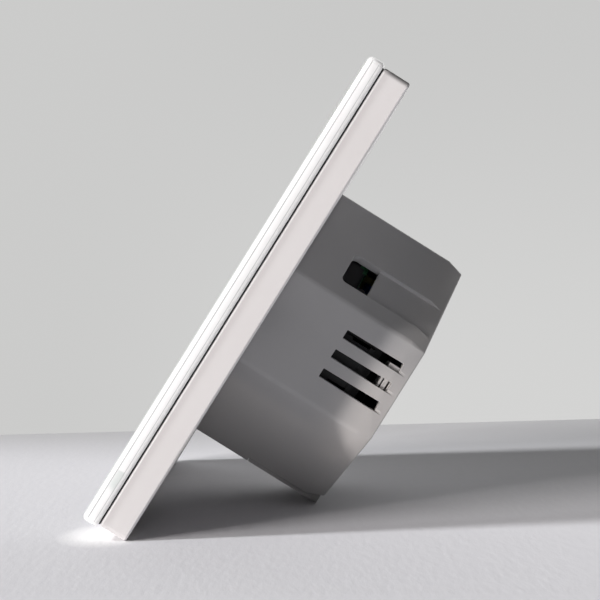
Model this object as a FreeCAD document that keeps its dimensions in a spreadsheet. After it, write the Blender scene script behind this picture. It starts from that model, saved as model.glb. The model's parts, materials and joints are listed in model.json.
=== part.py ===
import FreeCAD, Part
import math
import os

import Sketcher
from FreeCAD import Placement, Rotation, Vector

# Glass-fronted touch switch for a square wall box, as it hangs on the wall.
# +Z is up, +Y goes into the wall, and the glass faces -Y. The origin is the middle of the frame's
# back face, on the axis of the box behind it.

SIZES = [
    ("glass_side", 86.0, "glass panel, edge to edge"),
    ("glass_thickness", 2.8, "glass panel"),
    ("glass_corner", 1.0, "radius of the glass's corners, seen from the front"),
    ("glass_front_round", 0.8, "rounding of the glass's front edge"),
    ("glass_back_round", 0.4, "rounding of the glass's back edge"),
    ("glass_gap", 0.22, "gap between the glass and the frame"),
    ("tape_thickness", 0.2, "adhesive ring behind the glass"),
    ("tape_width", 5.0, "adhesive ring, across its band"),
    ("tape_inset", 1.0, "from the carrier's edge to the adhesive"),
    ("carrier_thickness", 1.2, "plastic ring that carries the glass"),
    ("carrier_width", 9.5, "carrier ring, across its band"),
    ("lug_width", 14.0, "each of the carrier's four lugs"),
    ("lug_thickness", 1.4, "each of the carrier's four lugs"),
    ("frame_side", 85.2, "frame, edge to edge"),
    ("panel_rise", 0.8, "how far the panel's middle stands above the box's axis"),
    ("frame_depth", 4.85, "frame, front rim to wall"),
    ("frame_corner", 1.0, "radius of the frame's corners"),
    ("frame_wall", 1.5, "frame's rim"),
    ("frame_edge_round", 0.35, "rounding of the rim's outer front edge"),
    ("frame_back_bevel", 0.3, "bevel of the frame's back edge"),
    ("floor_thickness", 1.8, "floor of the frame"),
    ("seat_front_depth", 0.8, "from the floor's front to the ledge that the chassis and the box clamp"),
    ("seat_back_depth", 0.4, "from the ledge to the frame's back face"),
    ("pry_width", 10.0, "notch for a screwdriver in the lower rim"),
    ("pry_depth", 0.9, "notch for a screwdriver in the lower rim"),
    ("fit_gap", 0.3, "room round pieces that slide into each other"),
    ("slip_gap", 0.2, "room round pieces that plug into each other"),
    ("thread_gap", 0.04, "radial room in a threaded or drilled hole"),
    ("plate_side", 72.0, "steel mounting plate, edge to edge"),
    ("plate_thickness", 1.0, "steel mounting plate"),
    ("plate_corner", 4.0, "radius of the plate's corners"),
    ("screw_spacing", 60.0, "wall box screws, hole to hole"),
    ("slot_width", 4.0, "slot for a wall box screw"),
    ("slot_length", 8.0, "slot for a wall box screw, end to end"),
    ("slot_margin", 0.8, "how much larger the frame's slots are all round"),
    ("box_across", 51.0, "octagonal box, across its flats"),
    ("box_flat", 18.1, "width of the box's four narrow sides"),
    ("box_depth", 26.5, "box, wall face to rear face"),
    ("box_wall", 1.6, "side walls of the box"),
    ("box_rear_wall", 1.5, "rear wall of the box"),
    ("box_corner", 1.5, "rounding of the box's long edges"),
    ("rear_bevel_length", 3.2, "bevel of the box's rear edge, along the sides"),
    ("rear_bevel_inset", 0.9, "how far that bevel comes in"),
    ("rear_edge_round", 0.35, "rounding of the box's rear edge"),
    ("cavity_step", 1.2, "how far the cavity steps in behind the bevel"),
    ("vent_pitch", 3.86, "vent slot to vent slot"),
    ("vent_rise", 0.4, "height of the middle vent slot"),
    ("vent_rear_margin", 0.65, "from the vent slots to the inside of the rear wall"),
    ("vent_length", 11.3, "vent slot, along the depth"),
    ("vent_front_width", 1.6, "vent slot at its front end"),
    ("vent_rear_width", 1.84, "vent slot at its rear end"),
    ("vent_groove_width", 0.5, "groove from each slot to the rear edge"),
    ("vent_groove_depth", 0.7, "groove from each slot to the rear edge"),
    ("window_lead", 2.0, "from the snap windows' front to the power board"),
    ("window_length", 5.4, "snap window, along the depth"),
    ("window_width", 7.5, "snap window and its channel"),
    ("window_offset", 3.95, "snap window, from the middle of its wide side"),
    ("window_corner", 1.0, "radius of the snap windows' front corners"),
    ("channel_depth", 0.75, "recess from the window to the rear edge"),
    ("label_width", 24.0, "bare recess for a label on the rear face"),
    ("label_low", -5.0, "height of the recess's lower edge"),
    ("label_high", 11.0, "height of the recess's upper edge"),
    ("label_depth", 0.2, "bare recess for a label on the rear face"),
    ("stop_reach", 2.7, "inner stops behind the vents, from the rear wall"),
    ("stop_outer", 22.0, "inner stops, distance of their face from the middle"),
    ("stop_thickness", 4.0, "inner stops, towards the middle"),
    ("stop_root", 1.8, "plate that the stop's ribs stand on, towards the middle"),
    ("stop_low", 2.4, "height of the stop block's lower side"),
    ("stop_high", 4.2, "height of the stop block's upper side"),
    ("comb_half", 1.3, "ribbed stop, from its middle up and down"),
    ("comb_front_rib", 0.4, "front rib of the ribbed stop, along the depth"),
    ("comb_middle_start", 0.65, "from the front rib's face to the middle rib's"),
    ("comb_middle_rib", 0.8, "middle rib, along the depth"),
    ("comb_rear_start", 1.8, "from the front rib's face to the rear rib's"),
    ("comb_rear_rib", 0.3, "rear rib, along the depth"),
    ("chassis_gap", 0.2, "between the chassis skirt and the frame's opening"),
    ("skirt_wall", 1.2, "chassis skirt"),
    ("skirt_end", 3.0, "depth where the chassis skirt ends"),
    ("touch_board_across", 41.4, "touch board, across its flats"),
    ("touch_board_flat", 7.6, "touch board, its narrow sides"),
    ("touch_board_front", -0.8, "depth of the touch board's front face"),
    ("touch_board_thickness", 1.2, "touch board"),
    ("touch_board_room", 0.3, "between the touch board and the chassis"),
    ("plate_opening_room", 0.8, "between the touch board's edge and the plate's opening"),
    ("ledge_depth", 3.0, "ledges under the touch board, towards the middle"),
    ("ledge_width", 6.0, "ledges under the touch board"),
    ("boss_place", 14.3, "chassis bosses, from the middle both ways"),
    ("boss_radius", 2.2, "chassis bosses"),
    ("hook_width", 5.0, "chassis hooks"),
    ("hook_thickness", 1.2, "chassis hooks"),
    ("barb_out", 0.95, "how far each hook's barb stands out"),
    ("barb_length", 2.6, "each hook's barb, along the depth"),
    ("plate_screw_radius", 1.0, "plate screws"),
    ("plate_screw_head", 1.85, "radius of the plate screws' heads"),
    ("plate_screw_sink", 0.85, "depth of the plate screws' countersinks"),
    ("plate_screw_length", 5.0, "plate screws, below the head"),
    ("board_room", 15.4, "from the power board's front face to the rear wall"),
    ("power_board_thickness", 1.6, "power board"),
    ("power_board_room", 0.8, "between the power board and the box's wall"),
    ("board_screw_radius", 0.95, "board screws"),
    ("board_screw_head", 1.8, "radius of the board screws' heads"),
    ("board_screw_head_height", 1.4, "board screws' heads"),
    ("board_screw_length", 4.0, "board screws, below the head"),
    ("touch_spacing", 28.0, "touch spring to touch spring"),
    ("spring_radius", 3.2, "touch springs, to the middle of the wire"),
    ("spring_wire", 0.5, "touch springs, thickness of the wire"),
    ("spring_turns", 4.0, "touch springs"),
    ("spring_tip_gap", 0.15, "between the springs and the glass"),
    ("light_ring_outer", 5.2, "light rings, outer radius"),
    ("light_ring_inner", 4.3, "light rings, inner radius"),
    ("light_ring_tip_gap", 0.3, "between the light rings and the glass"),
    ("lamp_length", 1.6, "indicator light"),
    ("lamp_width", 0.8, "indicator light"),
    ("lamp_height", 0.6, "indicator light"),
    ("wireless_width", 16.0, "wireless board"),
    ("wireless_height", 12.0, "wireless board"),
    ("wireless_thickness", 0.8, "wireless board"),
    ("wireless_low", 2.6, "wireless board, height of its lower edge"),
    ("shield_height", 2.0, "shield over the wireless board"),
    ("shield_margin", 1.0, "from the wireless board's edge to its shield"),
    ("antenna_height", 3.0, "strip of the wireless board that is left bare for its aerial"),
    ("pin_count", 6, "pins between the two boards"),
    ("pin_pitch", 2.0, "pin to pin"),
    ("pin_size", 0.5, "thickness of each pin"),
    ("header_height", 2.0, "plastic of the pin header"),
    ("header_width", 2.4, "pin header and socket"),
    ("header_place", -9.0, "height of the pin header's middle"),
    ("socket_stand_off", 1.8, "between the pin header and the socket"),
    ("pin_end_room", 1.8, "from the pins' ends to the power board"),
    ("pole_count", 3, "terminals"),
    ("pole_pitch", 6.0, "terminal to terminal"),
    ("block_wall", 0.6, "outer walls of the terminal block"),
    ("block_sink", 0.15, "how far the block lies inside the box's sides"),
    ("block_rear_sink", 0.6, "how far the block lies inside the box's rear face"),
    ("block_high", -14.6, "height of the block's inner side"),
    ("chamber_width", 4.8, "terminal chamber"),
    ("chamber_floor", 1.0, "terminal block, under the chambers"),
    ("chamber_height", 9.3, "terminal chamber, along the depth"),
    ("chamber_low", -21.3, "height of the chamber's lower end"),
    ("chamber_high", -16.1, "height of the chamber's upper end"),
    ("clamp_wall", 0.9, "terminal clamp, its side and lower walls"),
    ("clamp_top_wall", 1.2, "terminal clamp, its threaded wall"),
    ("clamp_height", 6.6, "terminal clamp, along the depth"),
    ("clamp_travel", 2.2, "how far a clamp rises"),
    ("entry_radius", 1.3, "wire entries"),
    ("entry_mouth", 2.1, "wire entries at the surface"),
    ("contact_thickness", 0.8, "fixed contact plates"),
    ("contact_width", 2.6, "fixed contact plates"),
    ("contact_lift", 2.8, "room for the wire under a fixed contact"),
    ("terminal_screw_radius", 1.5, "terminal screws, M3"),
    ("terminal_head_radius", 1.95, "terminal screws' heads"),
    ("terminal_head_height", 1.7, "terminal screws' heads"),
    ("head_slot", 0.6, "width of the screws' slots"),
    ("relay_length", 18.0, "relay, along Z"),
    ("relay_width", 9.6, "relay, along X"),
    ("relay_height", 12.9, "relay, off the board"),
    ("relay_wall", 0.6, "relay case"),
    ("relay_base_height", 1.5, "relay base"),
    ("relay_spacing", 10.2, "relay to relay"),
    ("relay_inner_edge", -1.7, "side of the inner relay that faces the middle"),
    ("outer_relay_low", -9.0, "lower end of the outer relay"),
    ("inner_relay_low", -12.2, "lower end of the inner relay"),
    ("yoke_thickness", 1.0, "relay yoke"),
    ("yoke_width", 5.2, "relay yoke"),
    ("yoke_end", 2.2, "yoke, from the end of the relay"),
    ("coil_offset", 7.4, "coil axis, from the end of the relay"),
    ("bobbin_side", 7.4, "flanges of the relay bobbin"),
    ("bobbin_flange", 0.6, "flanges of the relay bobbin"),
    ("coil_height", 5.6, "relay winding, along its axis"),
    ("coil_radius", 3.5, "relay winding"),
    ("tube_radius", 2.0, "tube of the relay bobbin"),
    ("core_radius", 1.5, "relay core"),
    ("pole_radius", 2.4, "relay core's face"),
    ("armature_gap", 0.1, "between the closed armature and the yoke"),
    ("armature_angle", 3.5, "how far the armature swings, in degrees"),
    ("armature_length", 8.6, "armature"),
    ("armature_thickness", 0.9, "armature"),
    ("leaf_thickness", 0.2, "moving contact spring"),
    ("leaf_width", 3.0, "moving contact spring"),
    ("leaf_start", 1.6, "moving contact spring, from the hinge"),
    ("contact_reach", 12.4, "relay contacts, from the hinge"),
    ("rivet_radius", 1.1, "relay contacts"),
    ("rivet_height", 0.55, "relay contacts"),
    ("rivet_gap", 0.06, "relay contacts, when closed"),
    ("blade_thickness", 0.5, "fixed contact of the relay"),
    ("core_low", -6.0, "transformer core, height of its lower end"),
    ("core_length", 12.0, "transformer core, along Z"),
    ("core_middle", 16.6, "transformer core, its middle plane"),
    ("core_thickness", 4.6, "transformer core"),
    ("core_lift", 1.2, "transformer core, off the board"),
    ("core_height", 8.4, "transformer core, along the depth"),
    ("core_leg", 1.4, "outer legs and yokes of the core"),
    ("core_centre_leg", 3.0, "centre leg of the core"),
    ("winding_reach", 4.9, "transformer winding, from the middle plane"),
    ("winding_margin", 0.15, "between the winding and the core"),
    ("large_capacitor_radius", 5.0, "large capacitor"),
    ("large_capacitor_height", 12.2, "large capacitor"),
    ("small_capacitor_radius", 3.1, "small capacitor"),
    ("small_capacitor_height", 10.8, "small capacitor"),
    ("capacitor_column", 4.9, "both capacitors, from the middle"),
    ("film_length", 13.0, "film capacitor"),
    ("film_width", 5.0, "film capacitor"),
    ("film_height", 11.0, "film capacitor"),
    ("film_low", 10.4, "height of the film capacitor's lower side"),
    ("varistor_radius", 3.5, "varistor disc"),
    ("varistor_thickness", 3.4, "varistor disc"),
    ("varistor_offset", 6.5, "varistor, from the transformer's middle plane"),
    ("varistor_height", 12.2, "height of the varistor's middle plane"),
    ("varistor_lift", 1.0, "varistor disc, off the board"),
    ("lead_radius", 0.3, "leads of the discs and tubes"),
    ("fuse_radius", 1.5, "fuse"),
    ("fuse_length", 8.0, "fuse"),
    ("fuse_height", 19.4, "height of the fuse's axis"),
    ("choke_radius", 2.9, "choke"),
    ("choke_height", 7.6, "choke"),
    ("chip_width", 4.0, "moulded chips, between their rows of legs"),
    ("chip_length", 5.0, "moulded chips, along their rows of legs"),
    ("chip_thickness", 1.4, "touch chip and supply chip"),
    ("rectifier_thickness", 2.4, "rectifier"),
    ("chip_stand_off", 0.1, "chips, off their board"),
    ("leg_reach", 0.9, "chips' legs, out from the side"),
    ("leg_width", 0.4, "chips' legs"),
    ("leg_thickness", 0.2, "chips' legs"),
    ("touch_chip_height", -11.5, "height of the touch chip's middle"),
    ("supply_chip_height", -9.6, "height of the supply chip's middle"),
    ("supply_chip_place", 15.4, "supply chip, from the middle"),
    ("rectifier_height", 18.9, "height of the rectifier's middle"),
    ("rectifier_place", -6.0, "rectifier, from the middle"),
]


class Size:
    """A size worked out from the sheet, kept with its formula so that a property can be bound to it."""

    def __init__(self, value, text):
        self.value = value
        self.text = text

    def __add__(self, other):
        return Size(self.value + float(other), f"({self.text} + {formula(other)})")

    def __sub__(self, other):
        return Size(self.value - float(other), f"({self.text} - {formula(other)})")

    def __rsub__(self, other):
        return Size(float(other) - self.value, f"({formula(other)} - {self.text})")

    def __mul__(self, other):
        return Size(self.value * float(other), f"({self.text} * {formula(other)})")

    def __truediv__(self, other):
        return Size(self.value / float(other), f"({self.text} / {formula(other)})")

    def __neg__(self):
        return Size(-self.value, f"(0 - {self.text})")

    def __float__(self):
        return float(self.value)

    __radd__ = __add__
    __rmul__ = __mul__


class Sheet:
    """The spreadsheet of driving dimensions, with each one to hand as a Size."""

    def __init__(self, document, rows):
        page = document.addObject("Spreadsheet::Sheet", "dims")
        for row, (name, value, what) in enumerate(rows, start=1):
            page.set(f"A{row}", what)
            page.set(f"B{row}", str(value))
            page.setAlias(f"B{row}", name)
            setattr(self, name, Size(value, f"dims.{name}"))


def formula(size):
    return size.text if isinstance(size, Size) else f"({float(size)})"


def bind(thing, prop, size):
    thing.setExpression(prop, formula(size))


doc = FreeCAD.newDocument("touch_switch")
d = Sheet(doc, SIZES)
doc.recompute()
nodes = []

ALONG = {
    "x": Rotation(Vector(0, 1, 0), 90),
    "y": Rotation(Vector(1, 0, 0), -90),
    "z": Rotation(),
}
OCTAGON_TRIM = math.tan(math.radians(22.5))

# Planes that several pieces share.
glass_back = -(d.frame_depth + d.glass_gap)
glass_front = glass_back - d.glass_thickness
carrier_front = glass_back + d.tape_thickness
carrier_back = carrier_front + d.carrier_thickness
floor_front = -d.floor_thickness
plate_front = floor_front - d.plate_thickness
seat_front = floor_front + d.seat_front_depth
box_front = -d.seat_back_depth
touch_board_back = d.touch_board_front + d.touch_board_thickness
header_back = touch_board_back + d.header_height
box_half = d.box_across / 2
box_wide_side = (box_half + d.box_flat / 2) * math.sqrt(0.5)
rear_inside = d.box_depth - d.box_rear_wall
bevel_start = d.box_depth - d.rear_bevel_length
power_board_front = rear_inside - d.board_room
power_board_back = power_board_front + d.power_board_thickness
bay_front = power_board_back - d.slip_gap
block_top = d.box_depth - d.block_rear_sink
block_low = d.block_sink - box_half
window_front = power_board_front - d.window_lead
vent_rear = rear_inside - d.vent_rear_margin
hook_end = power_board_back - d.fit_gap
opening_inset = d.box_wall + d.chassis_gap
skirt_inset = opening_inset + d.chassis_gap
touch_spring_low = glass_back + d.spring_tip_gap + d.spring_wire / 2


def node(thing, name):
    """Name a finished piece: its label is also its file's name."""
    thing.Label = name
    nodes.append(thing)
    return thing


def place(thing, x, y, z):
    for letter, size in zip("xyz", (x, y, z)):
        bind(thing, f".Placement.Base.{letter}", size)


def block(name, xs, ys, zs):
    """A box between two planes each way."""
    thing = doc.addObject("Part::Box", name)
    for prop, (low, high) in zip(("Length", "Width", "Height"), (xs, ys, zs)):
        bind(thing, prop, high - low)
    place(thing, xs[0], ys[0], zs[0])
    return thing


def rod(name, along, at, radius, length):
    thing = doc.addObject("Part::Cylinder", name)
    bind(thing, "Radius", radius)
    bind(thing, "Height", length)
    thing.Placement = Placement(Vector(), ALONG[along])
    place(thing, *at)
    return thing


def cone(name, along, at, first_radius, last_radius, length):
    thing = doc.addObject("Part::Cone", name)
    bind(thing, "Radius1", first_radius)
    bind(thing, "Radius2", last_radius)
    bind(thing, "Height", length)
    thing.Placement = Placement(Vector(), ALONG[along])
    place(thing, *at)
    return thing


def join(name, *pieces):
    thing = doc.addObject("Part::MultiFuse", name)
    thing.Shapes = list(pieces)
    thing.Refine = True
    return thing


def cut(name, base, *tools):
    thing = doc.addObject("Part::Cut", name)
    thing.Base = base
    thing.Tool = tools[0] if len(tools) == 1 else join(name + "_tools", *tools)
    thing.Refine = True
    return thing


def group(name, *pieces):
    """Several separate solids in one piece, such as a set of screws."""
    thing = doc.addObject("Part::Compound", name)
    thing.Links = list(pieces)
    return thing


def ring(name, along, at, outer, inner, length):
    solid = rod(name + "_outer", along, at, outer, length)
    return cut(name, solid, rod(name + "_bore", along, at, inner, length))


def body(name):
    return doc.addObject("PartDesign::Body", name)


def sketch(owner, name, plane, out, tilt=0.0):
    """An empty sketch on one of the body's own planes, moved out along the plane's normal."""
    drawing = owner.newObject("Sketcher::SketchObject", name)
    base = next(item for item in owner.Origin.OriginFeatures if item.Role == plane)
    drawing.AttachmentSupport = [(base, "")]
    drawing.MapMode = "FlatFace"
    drawing.AttachmentOffset = Placement(Vector(), Rotation(Vector(1, 0, 0), tilt))
    bind(drawing, ".AttachmentOffset.Base.y", out * -math.sin(math.radians(tilt)))
    bind(drawing, ".AttachmentOffset.Base.z", out * math.cos(math.radians(tilt)))
    return drawing


def wall_sketch(owner, name, depth):
    """A sketch parallel to the wall, with X and Z for its axes."""
    return sketch(owner, name, "XZ_Plane", -depth)


def fix_point(drawing, edge, end, point):
    for kind, size in zip(("DistanceX", "DistanceY"), point):
        number = drawing.addConstraint(Sketcher.Constraint(kind, -1, 1, edge, end, float(size)))
        if isinstance(size, Size):
            bind(drawing, f"Constraints[{number}]", size)


def draw_polygon(drawing, points):
    first = drawing.GeometryCount
    corners = [Vector(float(across), float(up), 0) for across, up in points]
    for start, end in zip(corners, corners[1:] + corners[:1]):
        drawing.addGeometry(Part.LineSegment(start, end), False)
    count = len(points)
    for step in range(count):
        joint = Sketcher.Constraint("Coincident", first + step, 2, first + (step + 1) % count, 1)
        drawing.addConstraint(joint)
        fix_point(drawing, first + step, 1, points[step])


def draw_circle(drawing, across, up, radius):
    middle = Vector(float(across), float(up), 0)
    edge = drawing.addGeometry(Part.Circle(middle, Vector(0, 0, 1), float(radius)), False)
    fix_point(drawing, edge, 3, (across, up))
    number = drawing.addConstraint(Sketcher.Constraint("Radius", edge, float(radius)))
    bind(drawing, f"Constraints[{number}]", radius)


def rectangle(across, up):
    """Corners of a rectangle from its two pairs of limits."""
    return [(across[0], up[0]), (across[1], up[0]), (across[1], up[1]), (across[0], up[1])]


def square(half):
    return rectangle((-half, half), (-half, half))


def octagon(half, flat_half, inset=0.0):
    """Corners of an octagon, drawn in by an inset that is the same on all eight sides."""
    far = half - inset
    near = flat_half - inset * OCTAGON_TRIM
    return [(far, -near), (far, near), (near, far), (-near, far),
            (-far, near), (-far, -near), (-near, -far), (near, -far)]


def box_outline(inset):
    return octagon(box_half, d.box_flat / 2, inset)


def touch_outline(inset):
    return octagon(d.touch_board_across / 2, d.touch_board_flat / 2, inset)


def turned(points, angle):
    """Points given outwards and sideways, turned round the box's axis."""
    c, s = math.cos(math.radians(angle)), math.sin(math.radians(angle))
    return [(out * c - side * s, out * s + side * c) for out, side in points]


def shaped(owner, kind, drawing, length, name, backwards=False):
    """Pad or pocket a drawing, and stop if it has left the piece as it was."""
    doc.recompute()
    before = owner.Shape.Volume if owner.Tip else 0.0
    feature = owner.newObject("PartDesign::" + kind, name)
    feature.Profile = drawing
    bind(feature, "Length", length)
    feature.Reversed = backwards
    drawing.Visibility = False
    doc.recompute()
    change = feature.Shape.Volume - before
    if (change <= 0) if kind == "Pad" else (change >= 0):
        raise RuntimeError(f"{owner.Name} {name} changes nothing")
    return feature


def raise_from(owner, name, depth, length, *polygons):
    """Pad one or more outlines from a depth, further into the wall."""
    drawing = wall_sketch(owner, name + "_outline", depth)
    for points in polygons:
        draw_polygon(drawing, points)
    return shaped(owner, "Pad", drawing, length, name, backwards=True)


def sink_from(owner, name, depth, length, *polygons):
    drawing = wall_sketch(owner, name + "_outline", depth)
    for points in polygons:
        draw_polygon(drawing, points)
    return shaped(owner, "Pocket", drawing, length, name)


def rods_from(owner, name, depth, length, radius, places):
    drawing = wall_sketch(owner, name + "_circles", depth)
    for across, up in places:
        draw_circle(drawing, across, up, radius)
    return shaped(owner, "Pad", drawing, length, name, backwards=True)


def drill_from(owner, name, depth, length, radius, places):
    drawing = wall_sketch(owner, name + "_circles", depth)
    for across, up in places:
        draw_circle(drawing, across, up, radius)
    return shaped(owner, "Pocket", drawing, length, name)


def edges_where(feature, rule):
    return [f"Edge{number}" for number, edge in enumerate(feature.Shape.Edges, start=1) if rule(edge)]


def runs_in_depth(edge):
    start, end = edge.Vertexes[0].Point, edge.Vertexes[-1].Point
    return abs(start.x - end.x) < 1e-6 and abs(start.z - end.z) < 1e-6 and abs(start.y - end.y) > 1e-6


def lies_at(depth):
    """A rule for the edges, or faces, whose corners are all at one depth."""
    return lambda shape: all(abs(corner.Y - float(depth)) < 1e-6 for corner in shape.Vertexes)


def dress(owner, kind, name, base, edges, size_prop, size):
    """Round or bevel some edges of the last feature."""
    feature = owner.newObject("PartDesign::" + kind, name)
    feature.Base = (base, edges)
    bind(feature, size_prop, size)
    doc.recompute()
    if feature.Shape.isNull() or not feature.Shape.isValid():
        raise RuntimeError(f"{owner.Name} {name} failed")
    return feature


def four_corners(out):
    return [(out, out), (-out, out), (-out, -out), (out, -out)]


def four_turns(outline):
    """The same outline on all four sides."""
    return [turned(outline, angle) for angle in (0, 90, 180, 270)]


def rounded_slab(name, half, corner, front, depth):
    """A square plate with rounded corners, standing parallel to the wall."""
    owner = body(name)
    slab = raise_from(owner, "slab", front, depth, square(half))
    corners = edges_where(slab, runs_in_depth)
    return owner, dress(owner, "Fillet", "corners", slab, corners, "Radius", corner)


def raised(owner, name):
    """Stand a finished piece of the panel round the panel's middle, above the box's axis."""
    bind(owner, ".Placement.Base.z", d.panel_rise)
    node(owner, name)


def lowered(points):
    """Points round the box's axis, for a piece that is drawn round the panel's middle."""
    return [(across, up - d.panel_rise) for across, up in points]


def glass_panel():
    owner, slab = rounded_slab("glass_panel", d.glass_side / 2, d.glass_corner, glass_front,
                               d.glass_thickness)
    front = dress(owner, "Fillet", "front_round", slab, edges_where(slab, lies_at(glass_front)),
                  "Radius", d.glass_front_round)
    dress(owner, "Fillet", "back_round", front, edges_where(front, lies_at(glass_back)),
          "Radius", d.glass_back_round)
    raised(owner, "glass_panel")


def carrier_half():
    return d.frame_side / 2 - d.frame_wall - d.fit_gap


def adhesive_ring():
    owner = body("adhesive_ring")
    outer = carrier_half() - d.tape_inset
    raise_from(owner, "band", glass_back, d.tape_thickness, square(outer), square(outer - d.tape_width))
    raised(owner, "adhesive_ring")


def cover_carrier():
    owner = body("cover_carrier")
    outer = carrier_half()
    band = (square(outer), square(outer - d.carrier_width))
    raise_from(owner, "band", carrier_front, d.carrier_thickness, *band)
    face = outer - d.fit_gap
    lug = rectangle((face - d.lug_thickness, face), (-d.lug_width / 2, d.lug_width / 2))
    raise_from(owner, "lugs", carrier_back, floor_front - d.slip_gap - carrier_back, *four_turns(lug))
    raised(owner, "cover_carrier")


def slot_outlines(margin):
    """The straight parts and the rounded ends of the four slots for wall box screws."""
    middle = d.screw_spacing / 2
    straight = d.slot_length / 2 - d.slot_width / 2
    half = d.slot_width / 2 + margin
    bars = four_turns(rectangle((middle - straight, middle + straight), (-half, half)))
    inner_ends = [points[0] for points in four_turns([(middle - straight, 0.0)])]
    outer_ends = [points[0] for points in four_turns([(middle + straight, 0.0)])]
    return bars, inner_ends, outer_ends, half


def cut_slots(owner, depth, thickness, margin, moved=list):
    bars, inner_ends, outer_ends, half = slot_outlines(margin)
    sink_from(owner, "screw_slots", depth, thickness, *[moved(bar) for bar in bars])
    drill_from(owner, "slot_ends_inner", depth, thickness, half, moved(inner_ends))
    drill_from(owner, "slot_ends_outer", depth, thickness, half, moved(outer_ends))


def panel_frame():
    owner, slab = rounded_slab("panel_frame", d.frame_side / 2, d.frame_corner, -d.frame_depth,
                               d.frame_depth)
    front = dress(owner, "Fillet", "front_edge", slab, edges_where(slab, lies_at(-d.frame_depth)),
                  "Radius", d.frame_edge_round)
    dress(owner, "Chamfer", "back_edge", front, edges_where(front, lies_at(0)), "Size", d.frame_back_bevel)
    inner = d.frame_side / 2 - d.frame_wall
    sink_from(owner, "tray", -d.frame_depth, d.frame_depth - d.floor_thickness, square(inner))
    rebate = lowered(box_outline(-d.fit_gap))
    sink_from(owner, "front_rebate", floor_front, d.seat_front_depth, rebate)
    sink_from(owner, "back_rebate", box_front, d.seat_back_depth, rebate)
    sink_from(owner, "opening", seat_front, box_front - seat_front, lowered(box_outline(opening_inset)))
    cut_slots(owner, floor_front, d.floor_thickness, d.slot_margin, lowered)
    pry = rectangle((-d.pry_width / 2, d.pry_width / 2), (-d.frame_side, -inner))
    sink_from(owner, "pry_notch", -d.frame_depth, d.pry_depth, pry)
    raised(owner, "panel_frame")


def mounting_plate():
    owner, _ = rounded_slab("mounting_plate", d.plate_side / 2, d.plate_corner, plate_front,
                            d.plate_thickness)
    sink_from(owner, "opening", plate_front, d.plate_thickness, touch_outline(-d.plate_opening_room))
    cut_slots(owner, plate_front, d.plate_thickness, 0.0)
    hole = d.plate_screw_radius + d.thread_gap
    holes = drill_from(owner, "screw_holes", plate_front, d.plate_thickness, hole, four_corners(d.boss_place))

    def is_rim(edge):
        return lies_at(plate_front)(edge) and len(edge.Vertexes) == 1

    dress(owner, "Chamfer", "countersinks", holes, edges_where(holes, is_rim), "Size", d.plate_screw_sink)
    node(owner, "mounting_plate")


def plate_screws():
    screws = []
    for number, (x, z) in enumerate(four_corners(d.boss_place), start=1):
        head = cone(f"plate_screw_head_{number}", "y", (x, plate_front, z), d.plate_screw_head,
                    d.plate_screw_head - d.plate_screw_sink, d.plate_screw_sink)
        shank = rod(f"plate_screw_shank_{number}", "y", (x, plate_front, z), d.plate_screw_radius,
                    d.plate_screw_length)
        drive = head_slot(f"plate_screw_slot_{number}", x, z, plate_front, d.plate_screw_head,
                          d.plate_screw_sink / 2)
        screws.append(cut(f"plate_screw_{number}", join(f"plate_screw_body_{number}", head, shank), drive))
    node(group("plate_screws", *screws), "plate_screws")


def head_slot(name, x, z, low, radius, depth):
    """The cutter for the slot across a screw's head."""
    up = (z - d.head_slot / 2, z + d.head_slot / 2)
    return block(name, (x - radius, x + radius), (low, low + depth), up)


def hook_places():
    """Each snap hook: its angle round the box, its offset along that side, and the side's distance."""
    wide, narrow = box_wide_side, box_half
    along = -d.window_offset
    return [(45, along, wide), (90, 0.0, narrow), (225, along, wide), (270, 0.0, narrow)]


def hook_outlines(inner, outer, width):
    """The hooks' cross-sections, between two distances in from the box's outer side."""
    outlines = []
    for angle, along, distance in hook_places():
        section = rectangle((distance - inner, distance - outer), (along - width / 2, along + width / 2))
        outlines.append(turned(section, angle))
    return outlines


def inner_chassis():
    owner = body("inner_chassis")
    raise_from(owner, "flange", floor_front, seat_front - floor_front, box_outline(0.0))
    raise_from(owner, "skirt", seat_front, d.skirt_end - seat_front, box_outline(skirt_inset))
    opening = touch_outline(-d.touch_board_room)
    sink_from(owner, "board_opening", floor_front, seat_front - floor_front, opening)
    hollow = box_outline(skirt_inset + d.skirt_wall)
    sink_from(owner, "skirt_hollow", seat_front, d.skirt_end - seat_front, hollow)
    rods_from(owner, "bosses", seat_front, power_board_front - seat_front, d.boss_radius,
              four_corners(d.boss_place))
    wall_inside = box_half - skirt_inset - d.skirt_wall
    ledge = rectangle((wall_inside - d.ledge_depth, wall_inside + d.skirt_wall / 2),
                      (-d.ledge_width / 2, d.ledge_width / 2))
    raise_from(owner, "ledges", touch_board_back, d.skirt_end - touch_board_back, *four_turns(ledge))
    arms = hook_outlines(skirt_inset + d.hook_thickness, skirt_inset, d.hook_width)
    raise_from(owner, "hook_arms", seat_front, hook_end - seat_front, *arms)
    barbs = hook_outlines(skirt_inset + d.hook_thickness, skirt_inset - d.barb_out, d.hook_width)
    raise_from(owner, "barbs", window_front + d.slip_gap, d.barb_length, *barbs)
    plate_hole = d.plate_screw_radius + d.thread_gap
    drill_from(owner, "plate_screw_holes", floor_front, d.plate_screw_length, plate_hole,
               four_corners(d.boss_place))
    board_hole = d.board_screw_radius + d.thread_gap
    start = power_board_front - d.board_screw_length
    drill_from(owner, "board_screw_holes", start, d.board_screw_length, board_hole, board_screw_places())
    node(owner, "inner_chassis")


def board_screw_places():
    return [four_corners(d.boss_place)[corner] for corner in (1, 3)]


def touch_board():
    owner = body("touch_board")
    raise_from(owner, "board", d.touch_board_front, d.touch_board_thickness, touch_outline(0.0))
    node(owner, "touch_board")


def sides():
    """The two gangs: name and place across the panel."""
    return [("left", -d.touch_spacing / 2), ("right", d.touch_spacing / 2)]


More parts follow.
